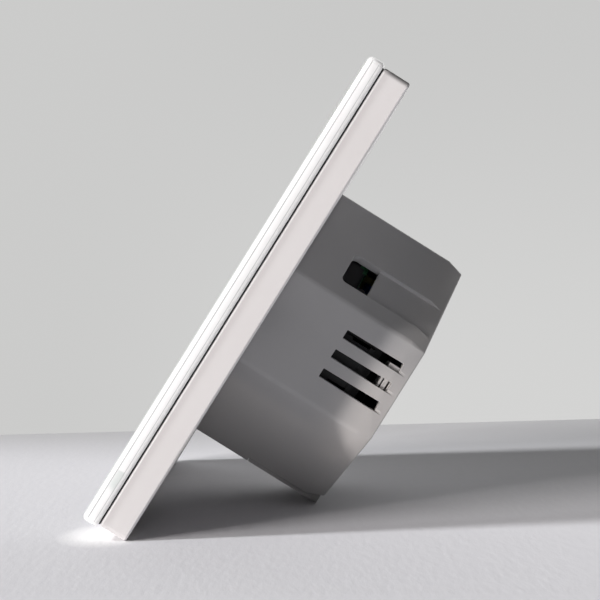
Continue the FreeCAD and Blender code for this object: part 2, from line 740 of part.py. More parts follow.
def touch_spring(name, x):
    """A coil of round wire that stands on the touch board and reaches to the glass."""
    owner = body(name)
    drawing = sketch(owner, "wire_outline", "XY_Plane", 0.0)
    draw_circle(drawing, d.spring_radius, touch_spring_low, d.spring_wire / 2)
    coil = owner.newObject("PartDesign::AdditiveHelix", "coil")
    coil.Profile = drawing
    coil.ReferenceAxis = (drawing, ["V_Axis"])
    coil.Mode = "height-turns-angle"
    bind(coil, "Height", d.touch_board_front - d.spring_wire / 2 - touch_spring_low)
    bind(coil, "Turns", d.spring_turns)
    bind(owner, ".Placement.Base.x", x)
    node(owner, name)


def light_ring(name, x):
    """A clear ring round the spring, with a pocket over its lamp."""
    front = glass_back + d.light_ring_tip_gap
    length = d.touch_board_front - front
    tube = ring(name + "_tube", "y", (x, front, 0.0), d.light_ring_outer, d.light_ring_inner, length)
    side = d.lamp_length / 2 + d.slip_gap
    pocket = block(name + "_pocket", (x - side, x + side),
                   (d.touch_board_front - d.lamp_height - d.slip_gap, d.touch_board_front),
                   (-d.light_ring_outer, -d.light_ring_inner + d.slip_gap))
    node(cut(name, tube, pocket), name)


def indicator_lamps():
    lamps = []
    middle = -(d.light_ring_outer + d.light_ring_inner) / 2
    for side, x in sides():
        lamps.append(block(f"lamp_{side}", (x - d.lamp_length / 2, x + d.lamp_length / 2),
                           (d.touch_board_front - d.lamp_height, d.touch_board_front),
                           (middle - d.lamp_width / 2, middle + d.lamp_width / 2)))
    node(group("indicator_lamps", *lamps), "indicator_lamps")


def chip(name, x, z, face, thickness, legs, outwards):
    """A moulded chip on its board, with a row of bent legs down each long side."""
    def depths(near, far):
        return sorted((face + outwards * near, face + outwards * far), key=float)

    stand_off = d.chip_stand_off
    shoulder = stand_off + thickness / 2
    half = d.chip_width / 2
    case = block(name + "_case", (x - half, x + half), depths(stand_off, stand_off + thickness),
                 (z - d.chip_length / 2, z + d.chip_length / 2))
    pieces = [case]
    for number in range(legs):
        middle = z + d.chip_length * ((number + 0.5) / legs - 0.5)
        up = (middle - d.leg_width / 2, middle + d.leg_width / 2)
        for side, hand in ((-1, "left"), (1, "right")):
            edge = x + side * half
            outer = edge + side * d.leg_reach
            knee = sorted((outer - side * d.leg_thickness, outer), key=float)
            reach = sorted((edge, outer), key=float)
            label = f"{name}_{hand}_leg_{number}"
            pieces.append(block(label, knee, depths(0.0, shoulder), up))
            pieces.append(block(label + "_shoulder", reach, depths(shoulder - d.leg_thickness, shoulder), up))
    node(join(name, *pieces), name)


def wireless_unit():
    face = touch_board_back
    half = d.wireless_width / 2
    low, high = d.wireless_low, d.wireless_low + d.wireless_height
    board_back = face + d.wireless_thickness
    node(block("wireless_board", (-half, half), (face, board_back), (low, high)), "wireless_board")
    margin = d.shield_margin
    node(block("wireless_shield", (-half + margin, half - margin),
               (board_back, board_back + d.shield_height), (low + margin, high - d.antenna_height)),
         "wireless_shield")


def pin_places():
    count = int(d.pin_count.value)
    return [d.pin_pitch * (number - (count - 1) / 2) for number in range(count)]


def pin_row(name, low, high, side):
    middle = d.header_place
    return [block(f"{name}_{number}", (x - side / 2, x + side / 2), (low, high),
                  (middle - side / 2, middle + side / 2))
            for number, x in enumerate(pin_places(), start=1)]


def board_link():
    """The pin header on the touch board, its pins, and the socket that they plug into."""
    half = d.pin_pitch * d.pin_count / 2
    up = (d.header_place - d.header_width / 2, d.header_place + d.header_width / 2)
    socket_front = header_back + d.socket_stand_off
    pin_end = power_board_front - d.pin_end_room
    hole = d.pin_size + 2 * d.thread_gap
    strip = block("strip_solid", (-half, half), (touch_board_back, header_back), up)
    strip_holes = pin_row("strip_hole", touch_board_back, header_back, hole)
    node(cut("header_strip", strip, *strip_holes), "header_strip")
    pins = pin_row("header_pin", touch_board_back, pin_end, d.pin_size)
    node(group("header_pins", *pins), "header_pins")
    case = block("socket_case", (-half, half), (socket_front, power_board_front), up)
    socket_holes = pin_row("socket_hole", socket_front, pin_end + d.slip_gap, hole)
    node(cut("header_socket", case, *socket_holes), "header_socket")


def power_board():
    owner = body("power_board")
    inset = d.box_wall + d.power_board_room
    raise_from(owner, "board", power_board_front, d.power_board_thickness, box_outline(inset))
    notches = hook_outlines(skirt_inset + d.hook_thickness + d.fit_gap, d.box_wall - d.fit_gap,
                            d.hook_width + 2 * d.fit_gap)
    sink_from(owner, "hook_notches", power_board_front, d.power_board_thickness, *notches)
    drill_from(owner, "screw_holes", power_board_front, d.power_board_thickness,
               d.board_screw_radius + d.thread_gap, board_screw_places())
    node(owner, "power_board")


def board_screws():
    screws = []
    for number, (x, z) in enumerate(board_screw_places(), start=1):
        head = rod(f"board_screw_head_{number}", "y", (x, power_board_back, z), d.board_screw_head,
                   d.board_screw_head_height)
        shank = rod(f"board_screw_shank_{number}", "y", (x, power_board_back - d.board_screw_length, z),
                    d.board_screw_radius, d.board_screw_length)
        top = power_board_back + d.board_screw_head_height
        drive = head_slot(f"board_screw_slot_{number}", x, z, top - d.board_screw_head_height / 2,
                          d.board_screw_head, d.board_screw_head_height / 2)
        screws.append(cut(f"board_screw_{number}", join(f"board_screw_body_{number}", head, shank), drive))
    node(group("board_screws", *screws), "board_screws")


def vent_middles():
    return [d.vent_rise + d.vent_pitch * step for step in (-1, 0, 1)]


def vent_outlines():
    """The three slots of one side, a little wider towards the rear."""
    front, rear = vent_rear - d.vent_length, vent_rear
    front_half, rear_half = d.vent_front_width / 2, d.vent_rear_width / 2
    return [[(front, middle - front_half), (rear, middle - rear_half),
             (rear, middle + rear_half), (front, middle + front_half)]
            for middle in vent_middles()]


def vent_slots(owner):
    drawing = sketch(owner, "vent_outline", "YZ_Plane", d.box_across)
    for points in vent_outlines():
        draw_polygon(drawing, points)
    shaped(owner, "Pocket", drawing, d.box_across * 2, "vents")


def vent_grooves(owner):
    """A fine groove from the lower rear corner of each slot to the rear edge, on both sides."""
    beyond = d.box_depth + d.box_rear_wall
    for name, out, backwards in (("right", box_half, False), ("left", -box_half, True)):
        drawing = sketch(owner, f"groove_outline_{name}", "YZ_Plane", out)
        for middle in vent_middles():
            low = middle - d.vent_rear_width / 2
            draw_polygon(drawing, rectangle((vent_rear, beyond), (low, low + d.vent_groove_width)))
        shaped(owner, "Pocket", drawing, d.vent_groove_depth, f"grooves_{name}", backwards)


def snap_windows(owner):
    """Four windows for the chassis hooks; the recess of each one runs on to the rear edge."""
    rear = d.box_depth + d.box_rear_wall
    for number, (angle, along, distance) in enumerate(hook_places(), start=1):
        up = (along - d.window_width / 2, along + d.window_width / 2)
        drawing = sketch(owner, f"channel_outline_{number}", "YZ_Plane", distance, tilt=-angle)
        last = bay_front + d.fit_gap if angle == 270 else rear
        draw_polygon(drawing, rectangle((window_front, last), up))
        shaped(owner, "Pocket", drawing, d.channel_depth, f"channel_{number}")
        drawing = sketch(owner, f"window_outline_{number}", "YZ_Plane", distance, tilt=-angle)
        draw_polygon(drawing, rectangle((window_front, window_front + d.window_length), up))
        window = shaped(owner, "Pocket", drawing, d.box_wall + d.cavity_step, f"window_{number}")

    def is_corner(edge):
        return lies_at(window_front)(edge) and abs(edge.Length - float(d.box_wall)) < 1e-3

    corners = edges_where(window, is_corner)
    dress(owner, "Fillet", "window_corners", window, corners, "Radius", d.window_corner)


def terminal_bay(owner):
    """The terminal block's place, open downwards for the wires and to the rear for its screws."""
    side = block_half() + d.fit_gap
    low = -box_half - d.box_wall
    beyond = d.box_depth + d.box_rear_wall
    drawing = sketch(owner, "bay_outline", "XY_Plane", low)
    draw_polygon(drawing, rectangle((-side, side), (bay_front, beyond)))
    shaped(owner, "Pocket", drawing, d.block_high + d.fit_gap - low, "terminal_bay", backwards=True)


def inner_stops(owner):
    """Stops inside the rear wall that show through the vents: a block, and a plate with three ribs."""
    start = rear_inside - d.stop_reach
    rooted = d.box_rear_wall / 2
    inner, outer = d.stop_outer - d.stop_thickness, d.stop_outer
    block_outline = rectangle((inner, outer), (d.stop_low, d.stop_high))
    raise_from(owner, "stop_block", start, d.stop_reach + rooted, block_outline)
    root_outline = rectangle((inner, inner + d.stop_root), (-d.comb_half, d.comb_half))
    raise_from(owner, "stop_root", start, d.stop_reach + rooted, root_outline)
    rib_outline = rectangle((inner, outer), (-d.comb_half, d.comb_half))
    for name, lead, thickness in (("front", 0.0, d.comb_front_rib),
                                  ("middle", d.comb_middle_start, d.comb_middle_rib),
                                  ("rear", d.comb_rear_start, d.comb_rear_rib)):
        raise_from(owner, f"stop_rib_{name}", start + lead, thickness, rib_outline)


def rear_housing():
    owner = body("rear_housing")
    tube = raise_from(owner, "box", box_front, d.box_depth - box_front, box_outline(0.0))
    long_edges = edges_where(tube, runs_in_depth)
    tube = dress(owner, "Fillet", "long_edges", tube, long_edges, "Radius", d.box_corner)
    tube = rear_bevel(owner, tube)
    rear_edges = edges_where(tube, lies_at(d.box_depth))
    dress(owner, "Fillet", "rear_edge", tube, rear_edges, "Radius", d.rear_edge_round)
    sink_from(owner, "front_cavity", box_front, bevel_start - box_front, box_outline(d.box_wall))
    narrowed = box_outline(d.box_wall + d.cavity_step)
    sink_from(owner, "rear_cavity", bevel_start, rear_inside - bevel_start, narrowed)
    vent_slots(owner)
    vent_grooves(owner)
    snap_windows(owner)
    terminal_bay(owner)
    label = rectangle((-d.label_width / 2, d.label_width / 2), (d.label_low, d.label_high))
    sink_from(owner, "label_recess", d.box_depth - d.label_depth, d.label_depth, label)
    inner_stops(owner)
    node(owner, "rear_housing")


def rear_bevel(owner, base):
    """Bevel the rear edge by two distances: along the side walls and across the rear face."""
    rear_face_of = lies_at(d.box_depth)
    faces = [f"Face{number}" for number, face in enumerate(base.Shape.Faces, start=1)
             if rear_face_of(face)]
    feature = owner.newObject("PartDesign::Chamfer", "rear_bevel")
    feature.Base = (base, faces)
    feature.ChamferType = "Two distances"
    bind(feature, "Size", d.rear_bevel_length)
    bind(feature, "Size2", d.rear_bevel_inset)
    doc.recompute()
    return feature


def pole_places():
    count = int(d.pole_count.value)
    return [d.pole_pitch * (number - (count - 1) / 2) for number in range(count)]


def block_half():
    return d.pole_pitch * d.pole_count / 2 + d.block_wall


def screw_height():
    return (d.chamber_low + d.chamber_high) / 2


def chamber_depths():
    floor = power_board_back + d.chamber_floor
    return floor, floor + d.chamber_height


def clamp_depths():
    """The clamp at rest, open: its outer faces and its inner opening."""
    low = chamber_depths()[0] + d.slip_gap
    high = low + d.clamp_height
    return low, low + d.clamp_wall, high - d.clamp_top_wall, high


def contact_depths():
    low = clamp_depths()[1] + d.contact_lift
    return low, low + d.contact_thickness


def head_seat():
    """Depth of the ledge that the terminal screws' heads turn on."""
    return block_top - d.terminal_head_height - d.slip_gap


def block_corner(name, angle, depths):
    """The cutter that keeps one lower corner of the block inside the box's slanting side."""
    c, s = math.cos(math.radians(angle)), math.sin(math.radians(angle))
    out = box_wide_side - d.block_sink
    side = d.box_flat / 2
    thing = doc.addObject("Part::Box", f"block_corner_{name}")
    for prop, size in (("Length", side), ("Width", depths[1] - depths[0]), ("Height", 2 * side)):
        bind(thing, prop, size)
    thing.Placement = Placement(Vector(), Rotation(Vector(0, 1, 0), angle))
    place(thing, out * c - side * s, depths[0], -out * s - side * c)
    return thing


def terminal_block():
    half = block_half()
    depths = (power_board_back, block_top)
    case = block("terminal_case", (-half, half), depths, (block_low, d.block_high))
    floor, ceiling = chamber_depths()
    entry_depth = (clamp_depths()[1] + contact_depths()[0]) / 2
    cutters = [block_corner("right", 45, depths), block_corner("left", 135, depths)]
    for number, x in enumerate(pole_places(), start=1):
        side = d.chamber_width / 2
        cutters.append(block(f"chamber_{number}", (x - side, x + side), (floor, ceiling),
                             (d.chamber_low, d.chamber_high)))
        cutters.append(rod(f"wire_way_{number}", "z", (x, entry_depth, block_low), d.entry_radius,
                           d.chamber_low - block_low))
        cutters.append(cone(f"wire_mouth_{number}", "z", (x, entry_depth, block_low), d.entry_mouth,
                            d.entry_radius, d.entry_mouth - d.entry_radius))
        cutters.append(rod(f"screw_way_{number}", "y", (x, ceiling, screw_height()),
                           d.terminal_screw_radius + d.slip_gap, head_seat() - ceiling))
        cutters.append(rod(f"head_way_{number}", "y", (x, head_seat(), screw_height()),
                           d.terminal_head_radius + d.slip_gap, block_top - head_seat()))
        width = d.contact_width / 2 + d.slip_gap
        low, high = contact_depths()
        cutters.append(block(f"contact_way_{number}", (x - width, x + width),
                             (low - d.slip_gap, high + d.slip_gap), (d.chamber_high, d.block_high)))
    node(cut("terminal_block", case, *cutters), "terminal_block")


def terminal_contacts():
    """One plate through each chamber, bent down to the power board behind the block."""
    low, high = contact_depths()
    plates = []
    for number, x in enumerate(pole_places(), start=1):
        across = (x - d.contact_width / 2, x + d.contact_width / 2)
        back = d.block_high + d.slip_gap
        plate = block(f"contact_plate_{number}", across, (low, high),
                      (d.chamber_low + d.slip_gap, back + d.contact_thickness))
        pin = block(f"contact_pin_{number}", across, (power_board_back, high),
                    (back, back + d.contact_thickness))
        plates.append(join(f"terminal_contact_{number}", plate, pin))
    node(group("terminal_contacts", *plates), "terminal_contacts")


def terminal_clamp(number, x):
    """A square cage with a threaded top wall; the wire is caught between it and the contact plate."""
    low, inner_low, inner_high, high = clamp_depths()
    side = d.chamber_width / 2 - d.slip_gap
    up = (d.chamber_low + d.fit_gap, d.chamber_high - d.fit_gap)
    cage = block(f"cage_{number}", (x - side, x + side), (low, high), up)
    inside = block(f"cage_inside_{number}", (x - side + d.clamp_wall / 2, x + side - d.clamp_wall / 2),
                   (inner_low, inner_high), up)
    thread = rod(f"cage_thread_{number}", "y", (x, inner_high, screw_height()),
                 d.terminal_screw_radius + d.thread_gap, d.clamp_top_wall)
    node(cut(f"terminal_clamp_{number}", cage, inside, thread), f"terminal_clamp_{number}")


def terminal_screw(number, x):
    seat = head_seat() + d.thread_gap
    tip = contact_depths()[1] + d.slip_gap
    head = rod(f"screw_head_{number}", "y", (x, seat, screw_height()), d.terminal_head_radius,
               d.terminal_head_height)
    shank = rod(f"screw_shank_{number}", "y", (x, tip, screw_height()), d.terminal_screw_radius, seat - tip)
    top = seat + d.terminal_head_height
    drive = head_slot(f"screw_slot_{number}", x, screw_height(), top - d.terminal_head_height / 2,
                      d.terminal_head_radius, d.terminal_head_height / 2)
    node(cut(f"terminal_screw_{number}", join(f"screw_body_{number}", head, shank), drive),
         f"terminal_screw_{number}")


def relay(number, right, low):
    """One relay: its case stands on the power board, and everything else is inside it."""
    left = right - d.relay_width
    middle = (left + right) / 2
    high = low + d.relay_length
    floor = power_board_back
    top = floor + d.relay_height
    wall = d.relay_wall
    inner_x = (left + wall, right - wall)
    inner_z = (low + wall, high - wall)
    shell = block(f"relay_shell_{number}", (left, right), (floor, top), (low, high))
    space = block(f"relay_space_{number}", inner_x, (floor, top - wall), inner_z)
    node(cut(f"relay_case_{number}", shell, space), f"relay_case_{number}")
    room = d.slip_gap
    base_top = floor + d.relay_base_height
    node(block(f"relay_base_{number}", (inner_x[0] + room, inner_x[1] - room), (floor, base_top),
               (inner_z[0] + room, inner_z[1] - room)), f"relay_base_{number}")

    yoke_across = (middle - d.yoke_width / 2, middle + d.yoke_width / 2)
    foot_top = base_top + d.yoke_thickness
    coil_axis = low + d.coil_offset
    hinge = low + d.yoke_end
    flange_top = foot_top + 2 * d.bobbin_flange + d.coil_height
    yoke_top = flange_top + d.bobbin_flange
    upright = block(f"yoke_upright_{number}", yoke_across, (base_top, yoke_top),
                    (hinge, hinge + d.yoke_thickness))
    foot = block(f"yoke_foot_{number}", yoke_across, (base_top, foot_top),
                 (hinge, coil_axis + d.pole_radius))
    stem = rod(f"core_stem_{number}", "y", (middle, foot_top, coil_axis), d.core_radius,
               yoke_top - foot_top)
    pole = rod(f"core_pole_{number}", "y", (middle, flange_top, coil_axis), d.pole_radius,
               d.bobbin_flange)
    node(join(f"relay_yoke_{number}", upright, foot, stem, pole), f"relay_yoke_{number}")

    half = d.bobbin_side / 2
    clear = (coil_axis - half, coil_axis + half)
    across = (middle - half, middle + half)
    lower = block(f"bobbin_lower_{number}", across, (foot_top, foot_top + d.bobbin_flange), clear)
    upper = block(f"bobbin_upper_{number}", across, (flange_top - d.bobbin_flange, flange_top), clear)
    tube = rod(f"bobbin_tube_{number}", "y", (middle, foot_top, coil_axis), d.tube_radius,
               flange_top - foot_top)
    bore = rod(f"bobbin_bore_{number}", "y", (middle, foot_top, coil_axis), d.core_radius + d.thread_gap,
               flange_top - foot_top)
    node(cut(f"relay_bobbin_{number}", join(f"bobbin_solid_{number}", lower, upper, tube), bore),
         f"relay_bobbin_{number}")
    coil_low = foot_top + d.bobbin_flange + d.thread_gap
    node(ring(f"relay_coil_{number}", "y", (middle, coil_low, coil_axis), d.coil_radius,
              d.tube_radius + d.thread_gap, d.coil_height - 2 * d.thread_gap), f"relay_coil_{number}")

    armature_low = yoke_top + d.armature_gap
    armature(number, middle, armature_low, hinge)
    leaf(number, middle, armature_low, hinge)
    fixed_contact(number, middle, base_top, armature_low, hinge, inner_z[1])


def on_hinge(thing, x, y, z):
    """Tilt a piece that was built flat from the hinge line, as the open armature stands."""
    thing.Placement = Placement(Vector(), Rotation(Vector(-1, 0, 0), float(d.armature_angle)))
    place(thing, x, y, z)
    bind(thing, ".Placement.Rotation.Angle", d.armature_angle)
    return thing


def armature(number, middle, low, hinge):
    half = d.yoke_width / 2
    name = f"relay_armature_{number}"
    plate = block(name, (-half, half), (0.0, d.armature_thickness), (0.0, d.armature_length))
    node(on_hinge(plate, middle - half, low, hinge), name)


def leaf(number, middle, low, hinge):
    """The spring on top of the armature, with the moving contact's rivet under its end."""
    half = d.leaf_width / 2
    base = d.armature_thickness
    strip = block(f"leaf_strip_{number}", (-half, half), (base, base + d.leaf_thickness),
                  (d.leaf_start, d.contact_reach + d.rivet_radius))
    rivet = rod(f"leaf_rivet_{number}", "y", (0.0, base - d.rivet_height, d.contact_reach),
                d.rivet_radius, d.rivet_height)
    name = f"relay_leaf_{number}"
    node(on_hinge(join(name, strip, rivet), middle, low, hinge), name)


def fixed_contact(number, middle, base_top, armature_low, hinge, inner_end):
    """A bent blade from the relay's base to the rivet that the moving contact closes on."""
    rivet_top = armature_low + d.armature_thickness - d.rivet_height - d.rivet_gap
    arm_top = rivet_top - d.rivet_height
    place_z = hinge + d.contact_reach
    half = d.leaf_width / 2
    across = (middle - half, middle + half)
    back = inner_end - d.fit_gap
    upright = block(f"blade_upright_{number}", across, (base_top, arm_top),
                    (back - d.blade_thickness, back))
    arm = block(f"blade_arm_{number}", across, (arm_top - d.blade_thickness, arm_top),
                (place_z - d.rivet_radius, back))
    rivet = rod(f"blade_rivet_{number}", "y", (middle, arm_top, place_z), d.rivet_radius, d.rivet_height)
    node(join(f"relay_fixed_contact_{number}", upright, arm, rivet), f"relay_fixed_contact_{number}")


def transformer():
    """An upright core with its winding round the centre leg, on feet of the bobbin."""
    floor = power_board_back
    low_y = floor + d.core_lift
    high_y = low_y + d.core_height
    across = (d.core_middle - d.core_thickness / 2, d.core_middle + d.core_thickness / 2)
    low_z, high_z = d.core_low, d.core_low + d.core_length
    axis = (low_z + high_z) / 2
    solid = block("core_solid", across, (low_y, high_y), (low_z, high_z))
    window_y = (low_y + d.core_leg, high_y - d.core_leg)
    below = block("core_window_low", across, window_y, (low_z + d.core_leg, axis - d.core_centre_leg / 2))
    above = block("core_window_high", across, window_y, (axis + d.core_centre_leg / 2, high_z - d.core_leg))
    node(cut("transformer_core", solid, below, above), "transformer_core")

    gap = d.winding_margin
    flange = 2 * d.winding_margin + d.skirt_wall / 2
    reach = (d.core_middle - d.winding_reach, d.core_middle + d.winding_reach)
    span = (low_z + d.core_leg + gap, high_z - d.core_leg - gap)
    leg_x = (across[0] - gap, across[1] + gap)
    leg_z = (axis - d.core_centre_leg / 2 - gap, axis + d.core_centre_leg / 2 + gap)
    first = window_y[0] + gap
    last = window_y[1] - gap
    lower = block("former_lower", reach, (first, first + flange), span)
    upper = block("former_upper", reach, (last - flange, last), span)
    sleeve_wall = flange
    sleeve = block("former_sleeve", (leg_x[0] - sleeve_wall, leg_x[1] + sleeve_wall), (first, last),
                   (leg_z[0] - sleeve_wall, leg_z[1] + sleeve_wall))
    feet = []
    for name, edge, side in (("inner", reach[0], 1), ("outer", reach[1], -1)):
        foot_x = sorted((edge, edge + side * 2 * flange), key=float)
        feet.append(block(f"former_foot_{name}", foot_x, (floor, first + flange), span))
    hole = block("former_hole", leg_x, (first, last), leg_z)
    former = join("former_solid", lower, upper, sleeve, *feet)
    node(cut("transformer_bobbin", former, hole), "transformer_bobbin")

    inset = flange / 2
    turns = block("turns_solid", (reach[0] + inset, reach[1] - inset), (first + flange, last - flange),
                  (span[0] + inset, span[1] - inset))
    inside = block("turns_inside", (leg_x[0] - sleeve_wall, leg_x[1] + sleeve_wall),
                   (first + flange, last - flange), (leg_z[0] - sleeve_wall, leg_z[1] + sleeve_wall))
    node(cut("transformer_winding", turns, inside), "transformer_winding")


def capacitor(name, x, z, radius, height):
    """A can with a groove rolled in near its foot."""
    foot = power_board_back
    groove = radius / 6
    can = rod(name + "_can", "y", (x, foot, z), radius, height)
    band = ring(name + "_groove", "y", (x, foot + groove, z), radius, radius - groove / 2, groove)
    node(cut(name, can, band), name)


def capacitors():
    row = d.inner_relay_low + d.large_capacitor_radius + d.fit_gap
    capacitor("large_capacitor", d.capacitor_column, row, d.large_capacitor_radius,
              d.large_capacitor_height)
    next_row = row + d.large_capacitor_radius + d.small_capacitor_radius + 2 * d.fit_gap
    capacitor("small_capacitor", d.capacitor_column, next_row, d.small_capacitor_radius,
              d.small_capacitor_height)
    right = d.capacitor_column - d.fit_gap
    node(block("film_capacitor", (right - d.film_length, right),
               (power_board_back, power_board_back + d.film_height),
               (d.film_low, d.film_low + d.film_width)), "film_capacitor")


def two_leads(name, x, z, spread, low, high):
    return [rod(f"{name}_lead_{number}", "y", (x + side * spread, low, z), d.lead_radius, high - low)
            for number, side in enumerate((-1, 1), start=1)]


def varistor():
    x, z = d.core_middle - d.varistor_offset, d.varistor_height
    axis = power_board_back + d.varistor_lift + d.varistor_radius
    disc = rod("varistor_disc", "z", (x, axis, z - d.varistor_thickness / 2), d.varistor_radius,
               d.varistor_thickness)
    leads = two_leads("varistor", x, z, d.varistor_radius / 2, power_board_back, axis)
    node(join("varistor", disc, *leads), "varistor")


def fuse():
    x, z = d.capacitor_column, d.fuse_height
    axis = power_board_back + 2 * d.fuse_radius
    tube = rod("fuse_tube", "x", (x - d.fuse_length / 2, axis, z), d.fuse_radius, d.fuse_length)
    ends = (x - d.fuse_length / 2, x + d.fuse_length / 2 - d.fuse_radius)
    caps = [rod(f"fuse_cap_{number}", "x", (start, axis, z), d.fuse_radius + d.lead_radius / 2, d.fuse_radius)
            for number, start in enumerate(ends, start=1)]
    leads = two_leads("fuse", x, z, d.fuse_length / 2 - d.fuse_radius / 2, power_board_back, axis)
    node(join("fuse", tube, *caps, *leads), "fuse")


def choke():
    """A drum of ferrite with its winding in the waist."""
    x, z = d.core_middle, d.core_low + d.core_length + d.choke_radius + 2 * d.fit_gap
    foot = power_board_back
    flange = d.choke_height / 6
    drum = rod("choke_drum", "y", (x, foot, z), d.choke_radius, d.choke_height)
    waist = ring("choke_waist", "y", (x, foot + flange, z), d.choke_radius, d.choke_radius - d.lead_radius,
                 d.choke_height - 2 * flange)
    node(cut("choke", drum, waist), "choke")


def terminals():
    terminal_block()
    terminal_contacts()
    for number, x in enumerate(pole_places(), start=1):
        terminal_clamp(number, x)
        terminal_screw(number, x)


def chips():
    chip("touch_chip", 0.0, d.touch_chip_height, d.touch_board_front, d.chip_thickness, 4, -1)
    chip("rectifier", d.rectifier_place, d.rectifier_height, power_board_back, d.rectifier_thickness, 2, 1)
    chip("supply_chip", d.supply_chip_place, d.supply_chip_height, power_board_back, d.chip_thickness, 4, 1)


glass_panel()
adhesive_ring()
cover_carrier()
panel_frame()
mounting_plate()
plate_screws()
inner_chassis()
touch_board()
for side_name, side_x in sides():
    touch_spring(f"touch_spring_{side_name}", side_x)
    light_ring(f"light_ring_{side_name}", side_x)
indicator_lamps()
wireless_unit()
board_link()
power_board()
board_screws()
rear_housing()
terminals()
relay(1, d.relay_inner_edge - d.relay_spacing, d.outer_relay_low)
relay(2, d.relay_inner_edge, d.inner_relay_low)
transformer()
capacitors()
varistor()
fuse()
choke()
chips()
doc.recompute()

for item in doc.Objects:
    if "Invalid" in item.State or "Error" in item.State:
        raise RuntimeError(f"{item.Name} failed: {item.State}")
os.makedirs("parts", exist_ok=True)
for piece in nodes:
    if piece.Shape.isNull() or not piece.Shape.isValid() or not piece.Shape.Solids:
        raise RuntimeError(f"{piece.Label} has no sound shape")
    piece.Shape.exportStep(f"parts/{piece.Label}.step")
print(len(nodes), "pieces")
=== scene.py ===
import json
import math

import bmesh
import bpy
from mathutils import Matrix, Vector

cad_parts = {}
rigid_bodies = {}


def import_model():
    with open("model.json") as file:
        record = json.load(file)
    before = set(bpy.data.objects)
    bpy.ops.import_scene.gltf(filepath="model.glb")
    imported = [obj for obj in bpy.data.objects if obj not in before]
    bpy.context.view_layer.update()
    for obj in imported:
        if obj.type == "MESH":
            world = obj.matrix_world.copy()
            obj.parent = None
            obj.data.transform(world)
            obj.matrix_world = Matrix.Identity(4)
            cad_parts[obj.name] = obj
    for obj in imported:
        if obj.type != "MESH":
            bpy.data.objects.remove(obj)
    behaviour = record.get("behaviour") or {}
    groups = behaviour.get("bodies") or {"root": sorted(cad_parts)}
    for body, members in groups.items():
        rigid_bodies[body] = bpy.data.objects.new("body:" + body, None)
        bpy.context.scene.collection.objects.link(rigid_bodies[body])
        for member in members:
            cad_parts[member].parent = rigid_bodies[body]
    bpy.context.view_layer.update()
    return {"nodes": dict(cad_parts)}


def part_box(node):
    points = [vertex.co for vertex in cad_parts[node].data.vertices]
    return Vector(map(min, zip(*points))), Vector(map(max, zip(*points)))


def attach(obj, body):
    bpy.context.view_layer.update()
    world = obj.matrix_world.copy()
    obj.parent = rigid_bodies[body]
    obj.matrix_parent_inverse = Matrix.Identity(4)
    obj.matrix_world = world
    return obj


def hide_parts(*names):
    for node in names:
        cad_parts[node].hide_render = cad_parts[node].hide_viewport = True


# A glass-fronted touch switch for a square wall box, leaning on a table, seen exactly from its side.
# Metres, in the part's own frame: +Z up the panel, +Y into the wall, glass towards -Y.

for leftover in list(bpy.data.objects):
    bpy.data.objects.remove(leftover)

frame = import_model()

MM = 0.001


# Nodes

def wired(tree, kind, settings, inputs):
    """A new node: its settings are set first, then its sockets' values or links."""
    made = tree.nodes.new(kind)
    for name, value in settings.items():
        setattr(made, name, value)
    for name, value in inputs.items():
        if isinstance(value, bpy.types.NodeSocket):
            tree.links.new(value, made.inputs[name])
        else:
            made.inputs[name].default_value = value
    return made


class Field:
    """A value that varies in a shading. Arithmetic on it adds Math nodes there."""

    def __init__(self, shading, socket):
        self.shading = shading
        self.socket = socket

    def maths(self, operation, *others):
        inputs = dict(enumerate((self, *others)))
        return self.shading.add("Math", {"operation": operation}, inputs)

    def swapped(self, operation, other):
        return self.shading.add("Math", {"operation": operation}, {0: other, 1: self})

    def __add__(self, other):
        return self.maths("ADD", other)

    def __sub__(self, other):
        return self.maths("SUBTRACT", other)

    def __rsub__(self, other):
        return self.swapped("SUBTRACT", other)

    def __mul__(self, other):
        return self.maths("MULTIPLY", other)

    def __truediv__(self, other):
        return self.maths("DIVIDE", other)

    def __pow__(self, other):
        return self.maths("POWER", other)

    def __gt__(self, other):
        return self.maths("GREATER_THAN", other)

    def __lt__(self, other):
        return self.maths("LESS_THAN", other)

    def __abs__(self):
        return self.maths("ABSOLUTE")

    def __mod__(self, other):
        return self.maths("FLOORED_MODULO", other)

    __radd__ = __add__
    __rmul__ = __mul__

    def clamped(self):
        return self.shading.add("Clamp", {}, {"Value": self})

    def larger(self, other):
        return self.maths("MAXIMUM", other)

    def line_at(self, place, width):
        """1 along a line at one value, falling off softly over its width."""
        return (1 - abs(self - place) / width).clamped()

    def from_to(self, start, end):
        """0 before start and 1 after end, smooth between."""
        inputs = {"Value": self, "From Min": start, "From Max": end}
        return self.shading.add("MapRange", {"interpolation_type": "SMOOTHSTEP"}, inputs)


# A Mix node's colour sockets, by number, because its float and vector sockets share their names.
MIX_AMOUNT = 0
MIX_FIRST = 6
MIX_SECOND = 7
MIX_RESULT = 2


class Shading:
    """The nodes of a material or of the world."""

    def __init__(self, owner):
        owner.use_nodes = True
        self.tree = owner.node_tree
        self.tree.nodes.clear()

    def add(self, kind, settings, inputs, output=0):
        links = {name: value.socket if isinstance(value, Field) else value
                 for name, value in inputs.items()}
        made = wired(self.tree, "ShaderNode" + kind, settings, links)
        return Field(self, made.outputs[output]) if made.outputs else None


